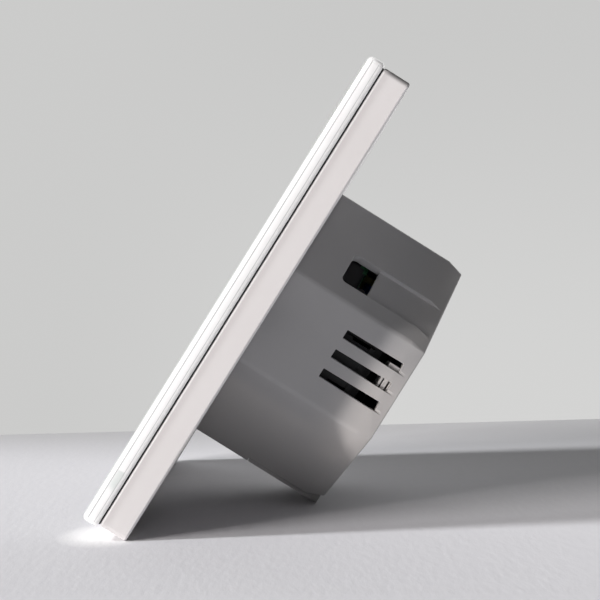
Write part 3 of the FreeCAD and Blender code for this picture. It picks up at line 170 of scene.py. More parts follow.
class Finish(Shading):
    """A material. Patterns on it are in millimetres of the object's own frame."""

    def __init__(self, name):
        self.material = bpy.data.materials.new(name)
        super().__init__(self.material)
        place = self.add("TexCoord", {}, {}, "Object")
        self.place = self.add("VectorMath", {"operation": "SCALE"}, {"Vector": place, "Scale": 1 / MM})
        self.x, self.y, self.z = self.parts_of(self.place)

    def parts_of(self, vector):
        made = self.add("SeparateXYZ", {}, {"Vector": vector}).socket.node
        return [Field(self, made.outputs[axis]) for axis in range(3)]

    def noise(self, scale, detail=2.0, stretch=(1.0, 1.0, 1.0)):
        place = self.place
        if stretch != (1.0, 1.0, 1.0):
            place = self.add("VectorMath", {"operation": "MULTIPLY"}, {0: place, 1: stretch})
        return self.add("TexNoise", {}, {"Vector": place, "Scale": scale, "Detail": detail})

    def mix(self, amount, first, second):
        inputs = {MIX_AMOUNT: amount, MIX_FIRST: first, MIX_SECOND: second}
        return self.add("Mix", {"data_type": "RGBA"}, inputs, MIX_RESULT)

    def bumped(self, height, depth, under=None):
        """A normal from a height field of 0 to 1, as deep as depth in millimetres."""
        inputs = {"Height": height, "Distance": depth * MM}
        if under:
            inputs["Normal"] = under
        return self.add("Bump", {}, inputs)

    def surface(self, **inputs):
        """The shader, with its values and fields by socket name, spaces as underscores."""
        named = {name.replace("_", " "): value for name, value in inputs.items()}
        shader = self.add("BsdfPrincipled", {}, named)
        self.add("OutputMaterial", {}, {"Surface": shader})
        return self.material


def tone(red, green, blue):
    return (red, green, blue, 1.0)


def shade(colour, factor):
    return tone(*(channel * factor for channel in colour[:3]))


# Finishes
# Noise scales are per millimetre, depths and places in millimetres. A pair of numbers is where a change
# starts and where it ends. A share is how far a colour goes over to another.

def moulded(name, colour, roughness=0.42, grain=0.006, mottle=0.05):
    """Moulded plastic: a fine spark-eroded grain, faint flow shading and a few duller places."""
    finish = Finish(name)
    flow = finish.noise(0.09, 3.0)
    tint = finish.mix(flow, shade(colour, 1 - mottle), shade(colour, 1 + mottle))
    skin = finish.noise(9.0, 3.0)
    dull = roughness + (finish.noise(0.35, 2.0) - 0.5) * 0.14
    return finish.surface(Base_Color=tint, Roughness=dull, Normal=finish.bumped(skin, grain))


PIN_MARK_ACROSS = 18.0
PIN_MARK_UP = 9.0
PIN_MARK_RADIUS = 2.4
PIN_MARK_WIDTH = 0.22
PIN_MARK_DEPTH = 0.05
REAR_WALL = 25.9
# Painted light on the housing: where a warm lamp's light is painted onto the rear rim, and how much.
WARM_LIGHT_SPAN = (17.0, 26.0)
WARM_LIGHT_SHARE = 0.6
# Where a lamp's light on the rear, below the top, is painted paler: along the depth, upwards and across.
REAR_LIGHT_SPAN = (14.0, 25.0)
REAR_LIGHT_TOP = (-1.0, 8.0)
REAR_LIGHT_SIDE = (15.0, 20.0)
# Where light thrown up from the table is painted onto the low faces as a paler colour, and how much.
BOUNCE_LIGHT_BELOW = (-10.7, -13.7)
BOUNCE_LIGHT_SHARE = 0.8


def pin_marks(finish):
    """The four faint rings that a mould's ejector pins leave on the rear wall."""
    across = abs(finish.x) - PIN_MARK_ACROSS
    up = abs(finish.z) - PIN_MARK_UP
    radius = (across * across + up * up) ** 0.5
    return radius.line_at(PIN_MARK_RADIUS, PIN_MARK_WIDTH) * (finish.y > REAR_WALL)


def housing_plastic():
    """The box behind the frame: flow marks and pin marks, with painted light: a warm painted light on its
    rear rim, and a paler painted light on its low faces and at its rear.
    """
    finish = Finish("housing_plastic")
    flow = finish.noise(0.12, 4.0, (1.0, 0.45, 1.0))
    colour = finish.mix(flow, tone(0.49, 0.49, 0.50), tone(0.53, 0.53, 0.535))
    # A warm lamp's light, painted onto the rear rim as a warmer colour.
    warm = finish.y.from_to(*WARM_LIGHT_SPAN)
    colour = finish.mix(warm * WARM_LIGHT_SHARE, colour, tone(0.56, 0.545, 0.53))
    # A lamp's light on the rear, below the top and towards the side, painted as a paler colour.
    below_the_top = 1 - finish.z.from_to(*REAR_LIGHT_TOP)
    rear = finish.y.from_to(*REAR_LIGHT_SPAN) * below_the_top * finish.x.from_to(*REAR_LIGHT_SIDE)
    colour = finish.mix(rear, colour, tone(0.70, 0.675, 0.655))
    # Light thrown up from the table, painted onto the low faces as a paler colour.
    low = finish.z.from_to(*BOUNCE_LIGHT_BELOW) * (1 - rear)
    colour = finish.mix(low * BOUNCE_LIGHT_SHARE, colour, tone(0.62, 0.61, 0.60))
    skin = finish.noise(7.0, 3.0)
    ripple = finish.noise(0.5, 2.0)
    normal = finish.bumped(skin, 0.008, finish.bumped(ripple, 0.012))
    normal = finish.bumped(pin_marks(finish), PIN_MARK_DEPTH, normal)
    return finish.surface(Base_Color=colour, Roughness=0.5 + (flow - 0.5) * 0.16, Normal=normal)


SIDE_FACE = 42.0
# Where painted highlights lie along the side's back and front edges.
FRAME_BACK_EDGE_LIGHT = (-0.45, -0.25)
FRAME_FRONT_EDGE_LIGHT = (-4.3, -4.7)
# Where painted shade darkens the upper end of the side, and how much.
FRAME_SHADED_END = (42.2, 43.2)
FRAME_SHADED_BACK = (-5.0, -3.0)
FRAME_SHADED_SHARE = 0.9


def frame_plastic():
    """The frame: glossy white with faint shrink marks; on its side, painted highlights make its edges pale
    and painted shade darkens its upper end.
    """
    finish = Finish("frame_plastic")
    flow = finish.noise(0.05, 3.0)
    colour = finish.mix(flow, tone(0.69, 0.665, 0.66), tone(0.73, 0.71, 0.705))
    side = finish.x > SIDE_FACE
    # Painted highlights: the side's back and front edges are painted paler.
    edges = (finish.y.from_to(*FRAME_BACK_EDGE_LIGHT) + finish.y.from_to(*FRAME_FRONT_EDGE_LIGHT)).clamped()
    colour = finish.mix(edges * side, colour, tone(0.97, 0.95, 0.94))
    # Painted shade: the upper end of the side is painted dark.
    shaded_end = finish.z.from_to(*FRAME_SHADED_END) * finish.y.from_to(*FRAME_SHADED_BACK) * side
    colour = finish.mix(shaded_end * FRAME_SHADED_SHARE, colour, tone(0.12, 0.12, 0.12))
    normal = finish.bumped(finish.noise(6.0, 2.0), 0.004, finish.bumped(finish.noise(0.22, 1.0), 0.02))
    return finish.surface(Base_Color=colour, Roughness=0.34 + (flow - 0.5) * 0.1, Normal=normal)


TOUCH_MARK_PLACE = 14.0
TOUCH_MARK_RADIUS = 4.75
TOUCH_MARK_WIDTH = 0.45
TOUCH_MARK_REACH = 0.2
TOUCH_MARK_SHARE = 0.55
GLASS_GLOW_REACH = 3.5
GLASS_RIM = 0.7
GLASS_MIDDLE = 0.8
GLASS_END = (42.0, 42.6)
FRONT_LINE_INSET = 0.85
FRONT_LINE_WIDTH = 0.14
FRONT_LINE_SHARE = 0.85
BACK_LINE_INSET = 0.75
BACK_LINE_WIDTH = 0.11
BACK_LINE_SHARE = 0.6
GREEN_PATCH_LOW = (-36.7, -34.8)
GREEN_PATCH_HIGH = (-32.6, -32.2)
GREEN_PATCH_FRONT = (0.85, 1.1)
GREEN_PATCH_BACK = (2.0, 2.3)
GREEN_PATCH_SHARE = 0.5


def green_side_patch(finish, front):
    """A faintly green patch low in the glass's side."""
    inset = finish.y - front
    along = finish.z.from_to(*GREEN_PATCH_LOW) * (1 - finish.z.from_to(*GREEN_PATCH_HIGH))
    deep = inset.from_to(*GREEN_PATCH_FRONT) * (1 - inset.from_to(*GREEN_PATCH_BACK))
    return along * deep * (finish.x > SIDE_FACE)


def white_glass(front, back):
    """White glass: its face painted darker and its sides paler, painted shade and a painted glow, with two
    fine lines round the sides and faint rings where it is touched.
    """
    finish = Finish("white_glass")
    cloud = finish.noise(0.15, 2.0)
    # The face is painted darker and the sides paler than the one white glass would be: painted shade so the
    # lamps don't wash the face out, and a painted glow along the sides.
    face = finish.mix(cloud, tone(0.53, 0.545, 0.55), tone(0.57, 0.58, 0.585))
    side = finish.mix(cloud, tone(0.93, 0.935, 0.935), tone(0.96, 0.965, 0.96))
    colour = finish.mix(finish.y.from_to(front, front + GLASS_RIM), face, side)
    short_of_the_ends = 1 - abs(finish.z - GLASS_MIDDLE).from_to(*GLASS_END)
    front_line = finish.y.line_at(front + FRONT_LINE_INSET, FRONT_LINE_WIDTH) * short_of_the_ends
    back_line = finish.y.line_at(back - BACK_LINE_INSET, BACK_LINE_WIDTH) * short_of_the_ends
    colour = finish.mix(front_line * FRONT_LINE_SHARE, colour, tone(0.20, 0.21, 0.21))
    colour = finish.mix(back_line * BACK_LINE_SHARE, colour, tone(0.30, 0.31, 0.31))
    across = abs(finish.x) - TOUCH_MARK_PLACE
    radius = (across * across + finish.z * finish.z) ** 0.5
    at_the_front = finish.y < front + TOUCH_MARK_REACH
    mark = radius.line_at(TOUCH_MARK_RADIUS, TOUCH_MARK_WIDTH) * at_the_front
    colour = finish.mix(mark * TOUCH_MARK_SHARE, colour, tone(0.30, 0.33, 0.35))
    patch = green_side_patch(finish, front)
    colour = finish.mix(patch * GREEN_PATCH_SHARE, colour, tone(0.50, 0.56, 0.53))
    rough = 0.07 + finish.noise(1.3, 3.0) * 0.04
    return finish.surface(Base_Color=colour, Roughness=rough, IOR=1.52, Coat_Weight=0.6,
                          Coat_Roughness=0.03, Subsurface_Weight=0.85, Subsurface_Radius=(1.0, 1.0, 1.0),
                          Subsurface_Scale=GLASS_GLOW_REACH * MM)


WEAVE = 7.0


def board_laminate(name, mask, copper, scale=1.0):
    """A circuit board: copper tracks and poured copper under the solder mask, over a fine glass weave."""
    finish = Finish(name)
    flat = finish.add("CombineXYZ", {}, {"X": finish.x, "Y": finish.z})
    tracks = finish.add("TexBrick", {"offset": 0.37, "squash": 1.0}, {
        "Vector": flat, "Scale": 0.9 * scale, "Mortar Size": 0.07, "Brick Width": 2.3, "Row Height": 0.8},
        "Fac")
    cells = finish.add("TexVoronoi", {"feature": "DISTANCE_TO_EDGE"},
                       {"Vector": finish.place, "Scale": 0.33 * scale}, "Distance")
    pour = cells.from_to(0.05, 0.07)
    colour = finish.mix(tracks.larger(pour * 0.5), shade(mask, 0.8), copper)
    warp = (finish.x * WEAVE).maths("SINE")
    weft = (finish.z * WEAVE).maths("SINE")
    weave = (warp * weft) * 0.5 + 0.5
    height = tracks * 0.8 + weave * 0.2
    return finish.surface(Base_Color=colour, Roughness=0.3 + weave * 0.12,
                          Normal=finish.bumped(height, 0.02), Coat_Weight=0.3, Coat_Roughness=0.15)


def metal(name, colour, roughness=0.3, brushing=(1.0, 1.0, 1.0), wear=0.12, depth=0.004):
    """Bare or plated metal with dull patches, brushed along the axis where its brushing is small."""
    finish = Finish(name)
    patches = finish.noise(0.5, 4.0)
    scratches = finish.noise(5.0, 4.0, brushing)
    tint = finish.mix(patches, shade(colour, 1 - wear), colour)
    rough = roughness + (patches - 0.5) * 0.18 + (scratches - 0.5) * 0.1
    return finish.surface(Base_Color=tint, Metallic=1.0, Roughness=rough,
                          Normal=finish.bumped(scratches, depth))


POLE_BAND_EDGE = 0.15


def sleeve(name, colour, end_place, band_place, band_half):
    """Shrink sleeve of a capacitor, with the polarity band down one side and a bare aluminium end."""
    finish = Finish(name)
    band = finish.z.line_at(band_place, band_half) > POLE_BAND_EDGE
    film = finish.noise(0.8, 2.0)
    end = finish.y > end_place
    skin = finish.mix(band * (finish.x > 0), colour, tone(0.55, 0.56, 0.58))
    skin = finish.mix(end, skin, tone(0.62, 0.63, 0.64))
    return finish.surface(Base_Color=finish.mix(film * 0.25, skin, shade(colour, 0.6)),
                          Metallic=end * 0.9, Roughness=0.3 + film * 0.1, Normal=finish.bumped(film, 0.02))


def wound_wire():
    """Enamelled copper wire, a little uneven in colour and gloss."""
    finish = Finish("copper_wire")
    enamel = finish.noise(2.0, 3.0)
    colour = finish.mix(enamel, tone(0.42, 0.13, 0.045), tone(0.62, 0.24, 0.09))
    return finish.surface(Base_Color=colour, Metallic=0.85, Roughness=0.28 + enamel * 0.1,
                          Normal=finish.bumped(finish.noise(11.0, 1.0), 0.006), Coat_Weight=0.5,
                          Coat_Roughness=0.1)


def tape():
    """Layers of dark polyester tape, each lap a fine step."""
    finish = Finish("winding_tape")
    laps = (finish.y * 0.9 + finish.noise(0.3, 1.0) * 0.2) % 1.0
    film = finish.noise(0.7, 2.0)
    colour = finish.mix(film, tone(0.016, 0.017, 0.020), tone(0.030, 0.031, 0.035))
    return finish.surface(Base_Color=colour, Roughness=0.32 + film * 0.12, Normal=finish.bumped(laps, 0.03))


def clear_plastic(name, colour, cloudiness):
    """Light guides and lamp lenses: see-through resin with a little haze."""
    finish = Finish(name)
    haze = finish.noise(1.1, 3.0)
    tint = finish.mix(haze, colour, shade(colour, 0.9))
    return finish.surface(Base_Color=tint, Roughness=cloudiness + haze * 0.1, IOR=1.49,
                          Transmission_Weight=0.75, Normal=finish.bumped(haze, 0.006))


def sintered(name, colour):
    """Ferrite: matt and faintly speckled, with ground faces."""
    finish = Finish(name)
    speckle = finish.noise(4.0, 4.0)
    tint = finish.mix(speckle, shade(colour, 0.75), shade(colour, 1.3))
    return finish.surface(Base_Color=tint, Roughness=0.55 + (speckle - 0.5) * 0.2, Metallic=0.15,
                          Normal=finish.bumped(speckle, 0.03))


def foam_tape():
    """Black double-sided foam tape, its cells cut open at the edges."""
    finish = Finish("black_adhesive")
    cells = finish.add("TexVoronoi", {}, {"Vector": finish.place, "Scale": 5.0}, "Distance")
    colour = finish.mix(cells, tone(0.008, 0.008, 0.009), tone(0.024, 0.024, 0.025))
    return finish.surface(Base_Color=colour, Roughness=0.8 + cells * 0.1, Normal=finish.bumped(cells, 0.06))


FUSE_CAP = 1.6


def fuse_glass():
    """The fuse: a glass tube between nickel caps."""
    finish = Finish("fuse_glass")
    low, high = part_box("fuse")
    caps = (finish.x < low.x / MM + FUSE_CAP) + (finish.x > high.x / MM - FUSE_CAP)
    haze = finish.noise(1.4, 2.0)
    colour = finish.mix(caps, tone(0.78, 0.83, 0.80), tone(0.66, 0.65, 0.62))
    return finish.surface(Base_Color=colour, Metallic=caps.clamped(), Roughness=0.12 + haze * 0.12,
                          Normal=finish.bumped(haze, 0.01))


CAPACITOR_END = 0.3
POLE_BAND_HALF = 1.2

glass_low, glass_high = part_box("glass_panel")
large_low, large_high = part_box("large_capacitor")

FINISHES = {
    "white_glass": white_glass(glass_low.y / MM, glass_high.y / MM),
    "black_adhesive": foam_tape(),
    "carrier_plastic": moulded("carrier_plastic", tone(0.62, 0.62, 0.61), 0.45),
    "frame_plastic": frame_plastic(),
    "plate_steel": metal("plate_steel", tone(0.60, 0.60, 0.61), 0.34, (1.0, 1.0, 0.06), 0.1),
    "zinc_screw": metal("zinc_screw", tone(0.62, 0.62, 0.65), 0.26, wear=0.2),
    "black_plastic": moulded("black_plastic", tone(0.018, 0.018, 0.020), 0.45, 0.008, 0.2),
    "touch_board_fr4": board_laminate("touch_board_fr4", tone(0.62, 0.63, 0.62), tone(0.70, 0.71, 0.70)),
    "power_board_fr4": board_laminate("power_board_fr4", tone(0.010, 0.075, 0.030), tone(0.035, 0.15, 0.06)),
    "wireless_fr4": board_laminate("wireless_fr4", tone(0.012, 0.022, 0.06), tone(0.05, 0.07, 0.12), 2.0),
    "spring_steel": metal("spring_steel", tone(0.66, 0.64, 0.60), 0.22, wear=0.1),
    "clear_guide": clear_plastic("clear_guide", tone(0.93, 0.94, 0.95), 0.12),
    "lamp_resin": clear_plastic("lamp_resin", tone(0.85, 0.86, 0.60), 0.25),
    "chip_resin": moulded("chip_resin", tone(0.022, 0.022, 0.024), 0.55, 0.012, 0.15),
    "shield_tin": metal("shield_tin", tone(0.70, 0.70, 0.68), 0.3, (0.05, 1.0, 1.0), 0.08),
    "gold_pin": metal("gold_pin", tone(0.86, 0.62, 0.24), 0.2, wear=0.1),
    "housing_plastic": housing_plastic(),
    "terminal_plastic": moulded("terminal_plastic", tone(0.50, 0.495, 0.485), 0.45, 0.008, 0.05),
    "tinned_copper": metal("tinned_copper", tone(0.72, 0.71, 0.70), 0.28, (1.0, 0.1, 1.0)),
    "clamp_steel": metal("clamp_steel", tone(0.56, 0.55, 0.52), 0.35, (0.1, 1.0, 1.0), 0.2),
    "relay_plastic": moulded("relay_plastic", tone(0.022, 0.020, 0.022), 0.38, 0.005, 0.12),
    "relay_iron": metal("relay_iron", tone(0.50, 0.50, 0.51), 0.36, (1.0, 0.1, 1.0), 0.15),
    "bobbin_plastic": moulded("bobbin_plastic", tone(0.74, 0.72, 0.66), 0.4),
    "copper_wire": wound_wire(),
    "contact_copper": metal("contact_copper", tone(0.80, 0.48, 0.30), 0.28, (1.0, 0.1, 1.0)),
    "ferrite": sintered("ferrite", tone(0.045, 0.045, 0.048)),
    "winding_tape": tape(),
    "capacitor_sleeve": sleeve("capacitor_sleeve", tone(0.012, 0.013, 0.03),
                               large_high.y / MM - CAPACITOR_END,
                               (large_low.z + large_high.z) / 2 / MM, POLE_BAND_HALF),
    "film_case": moulded("film_case", tone(0.62, 0.60, 0.18), 0.4, 0.01, 0.08),
    "disc_resin": moulded("disc_resin", tone(0.03, 0.10, 0.33), 0.35, 0.02, 0.12),
    "fuse_glass": fuse_glass(),
}

for part in frame["nodes"].values():
    for holder in part.material_slots:
        holder.material = FINISHES[holder.material.name]


# Pieces

SHARP_ANGLE = math.radians(35)
FLAT_ANGLE = math.radians(0.5)
SAME_PLACE = 1e-3
EDGE_STEPS = 2


def shown(name, mesh, slot, body):
    """A finished piece: its finish, the slot that it comes from and the body that it rides on."""
    mesh.materials.clear()
    mesh.materials.append(FINISHES[slot])
    piece = bpy.data.objects.new(name, mesh)
    bpy.context.collection.objects.link(piece)
    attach(piece, body)
    return piece


def baked(carrier):
    """The carrier's mesh with its modifiers worked in; the carrier itself is removed."""
    bpy.context.view_layer.update()
    graph = bpy.context.evaluated_depsgraph_get()
    mesh = bpy.data.meshes.new_from_object(carrier.evaluated_get(graph))
    bpy.data.objects.remove(carrier)
    return mesh


def carried(name, mesh):
    """An object that only lends its modifiers to a mesh."""
    carrier = bpy.data.objects.new(name + "_carrier", mesh)
    bpy.context.collection.objects.link(carrier)
    return carrier


def formed(name, form):
    """A mesh made of a form, which is then let go."""
    mesh = bpy.data.meshes.new(name)
    form.to_mesh(mesh)
    form.free()
    return mesh


def evened(mesh):
    """Flat faces shade flat right up to their rounded edges, and sharp corners stay sharp."""
    for face in mesh.polygons:
        face.use_smooth = True
    mesh.set_sharp_from_angle(angle=SHARP_ANGLE)
    carrier = carried(mesh.name, mesh)
    shading = carrier.modifiers.new("shading", "WEIGHTED_NORMAL")
    shading.keep_sharp = True
    return baked(carrier)


def softened(node, slot, body, width):
    """A node's form with its sharp edges rounded off by a hair, as moulded and pressed edges are."""
    form = bmesh.new()
    form.from_mesh(frame["nodes"][node].data)
    bmesh.ops.remove_doubles(form, verts=form.verts, dist=SAME_PLACE * MM)
    bmesh.ops.dissolve_limit(form, angle_limit=FLAT_ANGLE, verts=form.verts, edges=form.edges)
    carrier = carried(node, formed(node + "_form", form))
    edge = carrier.modifiers.new("edges", "BEVEL")
    edge.width = width * MM
    edge.segments = EDGE_STEPS
    edge.limit_method = "ANGLE"
    edge.angle_limit = SHARP_ANGLE
    edge.miter_outer = "MITER_ARC"
    mesh = evened(baked(carrier))
    mesh.name = node + "_soft"
    piece = shown(node + "_soft", mesh, slot, body)
    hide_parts(node)


# Each softened piece: the node that it replaces, its slot, its body and how wide its edges are rounded.
SOFTENED = (
    ("glass_panel", "white_glass", "cover", 0.05),
    ("panel_frame", "frame_plastic", "switch", 0.12),
    ("rear_housing", "housing_plastic", "switch", 0.16),
    ("inner_chassis", "black_plastic", "switch", 0.1),
    ("terminal_block", "terminal_plastic", "switch", 0.08),
    ("mounting_plate", "plate_steel", "switch", 0.06),
)

for entry in SOFTENED:
    softened(*entry)


# The rim reaches almost to the frame's edge so that the gap between glass and frame reads dark to its ends: a
# dark sheet standing in for the gap's shade.
RIM_OUTER = 42.3
RIM_INNER = 38.0
RIM_THICKNESS = 0.19


def gap_shading_adhesive():
    """The outer rim of the black adhesive, reaching almost to the frame's edge, which closes the gap between
    the glass and the frame: partly real tape, partly a dark sheet put in the gap as painted shade.
    """
    low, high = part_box("adhesive_ring")
    middle = (low.z + high.z) / 2
    form = bmesh.new()

    def square(half, depth):
        corners = ((-half, -half), (half, -half), (half, half), (-half, half))
        return [form.verts.new((across * MM, depth, middle + up * MM)) for across, up in corners]

    loops = [square(half, depth) for depth in (low.y, low.y + RIM_THICKNESS * MM)
             for half in (RIM_OUTER, RIM_INNER)]
    front_outer, front_inner, back_outer, back_inner = loops
    for first, second in ((front_outer, front_inner), (back_outer, back_inner),
                          (front_outer, back_outer), (front_inner, back_inner)):
        for corner, after in ((0, 1), (1, 2), (2, 3), (3, 0)):
            form.faces.new((first[corner], first[after], second[after], second[corner]))
    bmesh.ops.recalc_face_normals(form, faces=form.faces)
    shown("gap_shading_adhesive", formed("gap_shading_adhesive", form), "black_adhesive", "cover")


gap_shading_adhesive()


STOP_BACK = 22.1
STOP_FACE = 24.4
STOP_ROUND = 0.05
# Each stop in the slots: its span along the depth, then its span upwards.
STOP_SPANS = (
    ((22.3, 24.3), (3.36, 4.20)),
    ((22.3, 22.7), (-0.50, 1.30)),
    ((22.95, 23.75), (-0.50, 1.30)),
    ((24.1, 24.32), (-0.50, 1.30)),
)


def stop_faces():
    """The ends of the inner stops, which stand in the rear parts of the upper two vent slots."""
    form = bmesh.new()
    for deep, upward in STOP_SPANS:
        spans = ((STOP_BACK, STOP_FACE), deep, upward)
        middle = Vector([(start + end) / 2 for start, end in spans]) * MM
        size = Vector([end - start for start, end in spans]) * MM
        place = Matrix.Translation(middle) @ Matrix.Diagonal(size).to_4x4()
        bmesh.ops.create_cube(form, size=1.0, matrix=place)
    bmesh.ops.bevel(form, geom=list(form.edges), offset=STOP_ROUND * MM, segments=EDGE_STEPS,
                    affect="EDGES", profile=0.5)
    shown("stop_faces", evened(formed("stop_faces", form)), "housing_plastic", "switch")


stop_faces()


# Wound pieces

class Growth:
    """A Geometry Nodes tree on an empty carrier, with named inputs, baked to a plain mesh."""

    def __init__(self, name, sizes):
        self.tree = bpy.data.node_groups.new(name, "GeometryNodeTree")
        self.name = name
        self.sizes = sizes
        self.sockets = {}
        face = self.tree.interface
        for label in sizes:
            self.sockets[label] = face.new_socket(label, in_out="INPUT", socket_type="NodeSocketFloat")
        face.new_socket("Geometry", in_out="OUTPUT", socket_type="NodeSocketGeometry")
        self.entry = self.tree.nodes.new("NodeGroupInput")

    def size(self, label):
        return self.entry.outputs[label]

    def add(self, kind, settings, inputs):
        return wired(self.tree, kind, settings, inputs).outputs[0]

    def grown(self, geometry, slot):
        """The finished mesh: instances made real, the finish set, the tree's result worked in."""
        real = self.add("GeometryNodeRealizeInstances", {}, {"Geometry": geometry})
        coated = self.add("GeometryNodeSetMaterial", {}, {"Geometry": real, "Material": FINISHES[slot]})
        end = self.tree.nodes.new("NodeGroupOutput")
        self.tree.links.new(coated, end.inputs["Geometry"])
        carrier = bpy.data.objects.new(self.name, bpy.data.meshes.new(self.name))
        bpy.context.collection.objects.link(carrier)
        modifier = carrier.modifiers.new("growth", "NODES")
        modifier.node_group = self.tree
        for label, value in self.sizes.items():
            modifier[self.sockets[label].identifier] = value
        mesh = baked(carrier)
        mesh.name = self.name
        return mesh


TURN_CORNERS = 28
WIRE_CORNERS = 6
COIL_WIRE = 0.14


def winding(name, body, low, high, wire):
    """Fine wire laid turn by turn on a drum whose axis is along the depth, in the space from low to high."""
    radius = (high.x - low.x) / 2 - wire / 2
    height = high.y - low.y - wire
    growth = Growth(name, {"radius": radius, "height": height, "turns": height / wire, "wire": wire / 2})
    spiral = growth.add("GeometryNodeCurveSpiral", {}, {
        "Resolution": TURN_CORNERS, "Rotations": growth.size("turns"), "Start Radius": growth.size("radius"),
        "End Radius": growth.size("radius"), "Height": growth.size("height")})
    round_wire = growth.add("GeometryNodeCurvePrimitiveCircle", {"mode": "RADIUS"},
                            {"Resolution": WIRE_CORNERS, "Radius": growth.size("wire")})
    tube = growth.add("GeometryNodeCurveToMesh", {}, {"Curve": spiral, "Profile Curve": round_wire,
                                                      "Fill Caps": True})
    mesh = growth.grown(tube, "copper_wire")
    middle = Vector(((low.x + high.x) / 2, low.y + wire / 2, (low.z + high.z) / 2))
    mesh.transform(Matrix.Translation(middle) @ Matrix.Rotation(math.radians(-90), 4, "X"))
    for face in mesh.polygons:
        face.use_smooth = True
    return shown(name, mesh, "copper_wire", body)


for number in (1, 2):
    coil_low, coil_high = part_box(f"relay_coil_{number}")
    turns = winding(f"relay_turns_{number}", "switch", coil_low, coil_high, COIL_WIRE * MM)
    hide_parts(f"relay_coil_{number}")


# The table, the light and the camera

# The room's directions in the part's frame: the part leans, so the room's up isn't its own.
LEAN = math.radians(32.2)
UP = Vector((0.0, -math.sin(LEAN), math.cos(LEAN)))
ALONG = Vector((0.0, math.cos(LEAN), math.sin(LEAN)))
NEAR = Vector((1.0, 0.0, 0.0))
BEHIND_TURN = 0.95
BEHIND = (ALONG - NEAR * BEHIND_TURN).normalized()


def in_room(near, along, up):
    """A direction in the room, in the part's frame: towards the camera, to its right, and up."""
    return NEAR * near + ALONG * along + UP * up


# How far off the paper's painted shade begins and ends, and where and how wide the painted glow at the
# switch's foot lies.
TABLE_FALLOFF = (-40.0, -105.0)
FOOT_GLOW_PLACE = (38.0, -3.8)
FOOT_GLOW_REACH = (9.5, 6.3)


def table_paper():
    """Pale matt paper, painted darker far off as painted shade where the light falls off, and painted bright
    at the switch's foot as a painted glow, that isn't there from below.
    """
    finish = Finish("table_paper")
    fibres = finish.noise(0.8, 5.0, (0.4, 1.0, 1.0))
    cloud = finish.noise(0.02, 2.0)
    colour = finish.mix(fibres * 0.5 + cloud * 0.5, tone(0.665, 0.665, 0.70), tone(0.725, 0.725, 0.75))
    # Painted shade: the paper is painted darker far off, where the light falls off.
    dim = finish.x.from_to(*TABLE_FALLOFF)
    colour = finish.mix(dim, colour, tone(0.51, 0.51, 0.525))
    # Painted light: a bright glow painted on the paper at the switch's foot.
    nearer = (finish.x - FOOT_GLOW_PLACE[0]) / FOOT_GLOW_REACH[0]
    beside = (finish.y - FOOT_GLOW_PLACE[1]) / FOOT_GLOW_REACH[1]
    foot = (1 - beside * beside - nearer * nearer).clamped()
    colour = finish.mix(foot, colour, tone(0.93, 0.93, 0.94))
    shader = finish.add("BsdfPrincipled", {}, {
        "Base Color": colour, "Roughness": 0.85, "Specular IOR Level": 0.2,
        "Normal": finish.bumped(fibres, 0.05)})
    behind = finish.add("NewGeometry", {}, {}, "Backfacing")
    nothing = finish.add("BsdfTransparent", {}, {})
    sided = finish.add("MixShader", {}, {0: behind, 1: shader, 2: nothing})
    finish.add("OutputMaterial", {}, {"Surface": sided})
    return finish.material


TABLE_REACH = 1.2
TABLE_FAR_MIDDLE = -0.1062
TABLE_FAR_SLOPE = -0.187
table_height = min(point.co.dot(UP) for part in frame["nodes"].values() for point in part.data.vertices)


def far_edge(along):
    """How far from the camera the table ends; its far edge runs a little away to the right."""
    return TABLE_FAR_MIDDLE + TABLE_FAR_SLOPE * along


corners = [in_room(near, along, table_height)
           for near, along in ((far_edge(-TABLE_REACH), -TABLE_REACH), (TABLE_REACH, -TABLE_REACH),
                               (TABLE_REACH, TABLE_REACH), (far_edge(TABLE_REACH), TABLE_REACH))]
table_mesh = bpy.data.meshes.new("table")
table_mesh.from_pydata([tuple(corner) for corner in corners], [], [(0, 1, 2, 3)])
table_mesh.materials.append(table_paper())
table = bpy.data.objects.new("table", table_mesh)
bpy.context.collection.objects.link(table)


# Distant lamps: name, the way its light goes in the room, strength, softness in degrees, colour.
LAMPS = (
    ("window_lamp", (-0.33, 1.15, -1.0), 2.2, 7.0, (1.0, 1.0, 1.0)),
    ("low_lamp", (-4.0, 4.9, -1.0), 1.4, 4.0, (1.0, 0.955, 0.94)),
    ("side_lamp", (-1.50, 2.35, -1.0), 2.05, 20.0, (1.0, 0.965, 0.95)),
)

for lamp_name, way, strength, softness, lamp_colour in LAMPS:
    light = bpy.data.lights.new(lamp_name, "SUN")
    light.energy = strength
    light.angle = math.radians(softness)
    light.color = lamp_colour
    lamp = bpy.data.objects.new(lamp_name, light)
    lamp.rotation_euler = in_room(*way).to_track_quat("-Z", "Y").to_euler()
    bpy.context.collection.objects.link(lamp)


# How bright the room is towards each side, and the shares of a direction over which that changes.
NEAR_LEVEL = 0.012
FAR_LEVEL = 1.08
FAR_SPAN = (0.33, 0.88)
BEHIND_LEVEL = 1.3
BEHIND_SPAN = (0.80, 0.97)
BACKDROP_LOW = 0.655
BACKDROP_HIGH = 0.585
BACKDROP_RISE = (-0.1, 0.22)
BACKDROP_LEFT = 0.60
BACKDROP_TURN = (-0.06, 0.2)


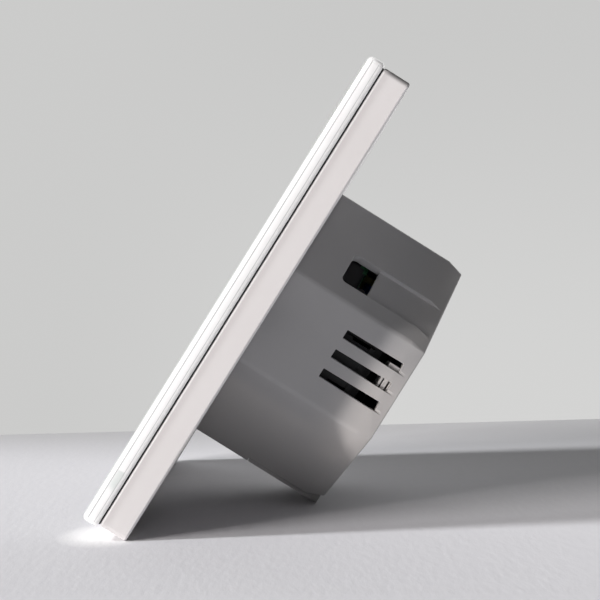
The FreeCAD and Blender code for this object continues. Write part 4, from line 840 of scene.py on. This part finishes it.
class RoomLight(Shading):
    """The room: bright on the far side and behind the switch, nearly dark elsewhere, with a pale backdrop."""

    def __init__(self, world):
        super().__init__(world)
        self.direction = self.add("TexCoord", {}, {}, "Generated")
        level = self.blend(self.towards(-NEAR).from_to(*FAR_SPAN), NEAR_LEVEL, FAR_LEVEL)
        level = self.blend(self.towards(BEHIND).from_to(*BEHIND_SPAN), level, BEHIND_LEVEL)
        backdrop = self.blend(self.towards(UP).from_to(*BACKDROP_RISE), BACKDROP_LOW, BACKDROP_HIGH)
        backdrop = self.blend(self.towards(-ALONG).from_to(*BACKDROP_TURN), backdrop, BACKDROP_LEFT)
        seen = self.add("LightPath", {}, {}, "Is Camera Ray")
        strength = self.blend(seen, level, backdrop)
        air = self.add("Background", {}, {"Color": tone(1.0, 1.0, 0.99), "Strength": strength})
        self.add("OutputWorld", {}, {"Surface": air})

    def towards(self, way):
        """The share of a direction that goes one way: 1 when it points there, 0 across it."""
        return self.add("VectorMath", {"operation": "DOT_PRODUCT"}, {0: self.direction, 1: way}, "Value")

    def blend(self, amount, first, second):
        return self.add("Mix", {}, {"Factor": amount, "A": first, "B": second}, "Result")


room = bpy.data.worlds.new("room")
RoomLight(room)
bpy.context.scene.world = room
bpy.context.scene.view_settings.view_transform = "Standard"

# The camera looks square on to the part's side, but for three small turns.
CAMERA_PLACE = Vector((239.05, 0.55, 7.95)) * MM
CAMERA_LENS = 74.96
CAMERA_SENSOR = 36.0
CAMERA_NEAREST = 0.01
CAMERA_YAW, CAMERA_PITCH, CAMERA_ROLL = (math.radians(angle) for angle in (-0.236, -1.061, -0.210))

square_on = Matrix((ALONG, UP, NEAR)).transposed()
turn = (Matrix.Rotation(CAMERA_YAW, 3, UP) @ square_on
        @ Matrix.Rotation(CAMERA_PITCH, 3, "X") @ Matrix.Rotation(CAMERA_ROLL, 3, "Z"))
lens = bpy.data.cameras.new("camera")
lens.lens = CAMERA_LENS
lens.sensor_width = CAMERA_SENSOR
lens.clip_start = CAMERA_NEAREST
camera = bpy.data.objects.new("camera", lens)
camera.matrix_world = Matrix.Translation(CAMERA_PLACE) @ turn.to_4x4()
bpy.context.collection.objects.link(camera)
bpy.context.scene.camera = camera
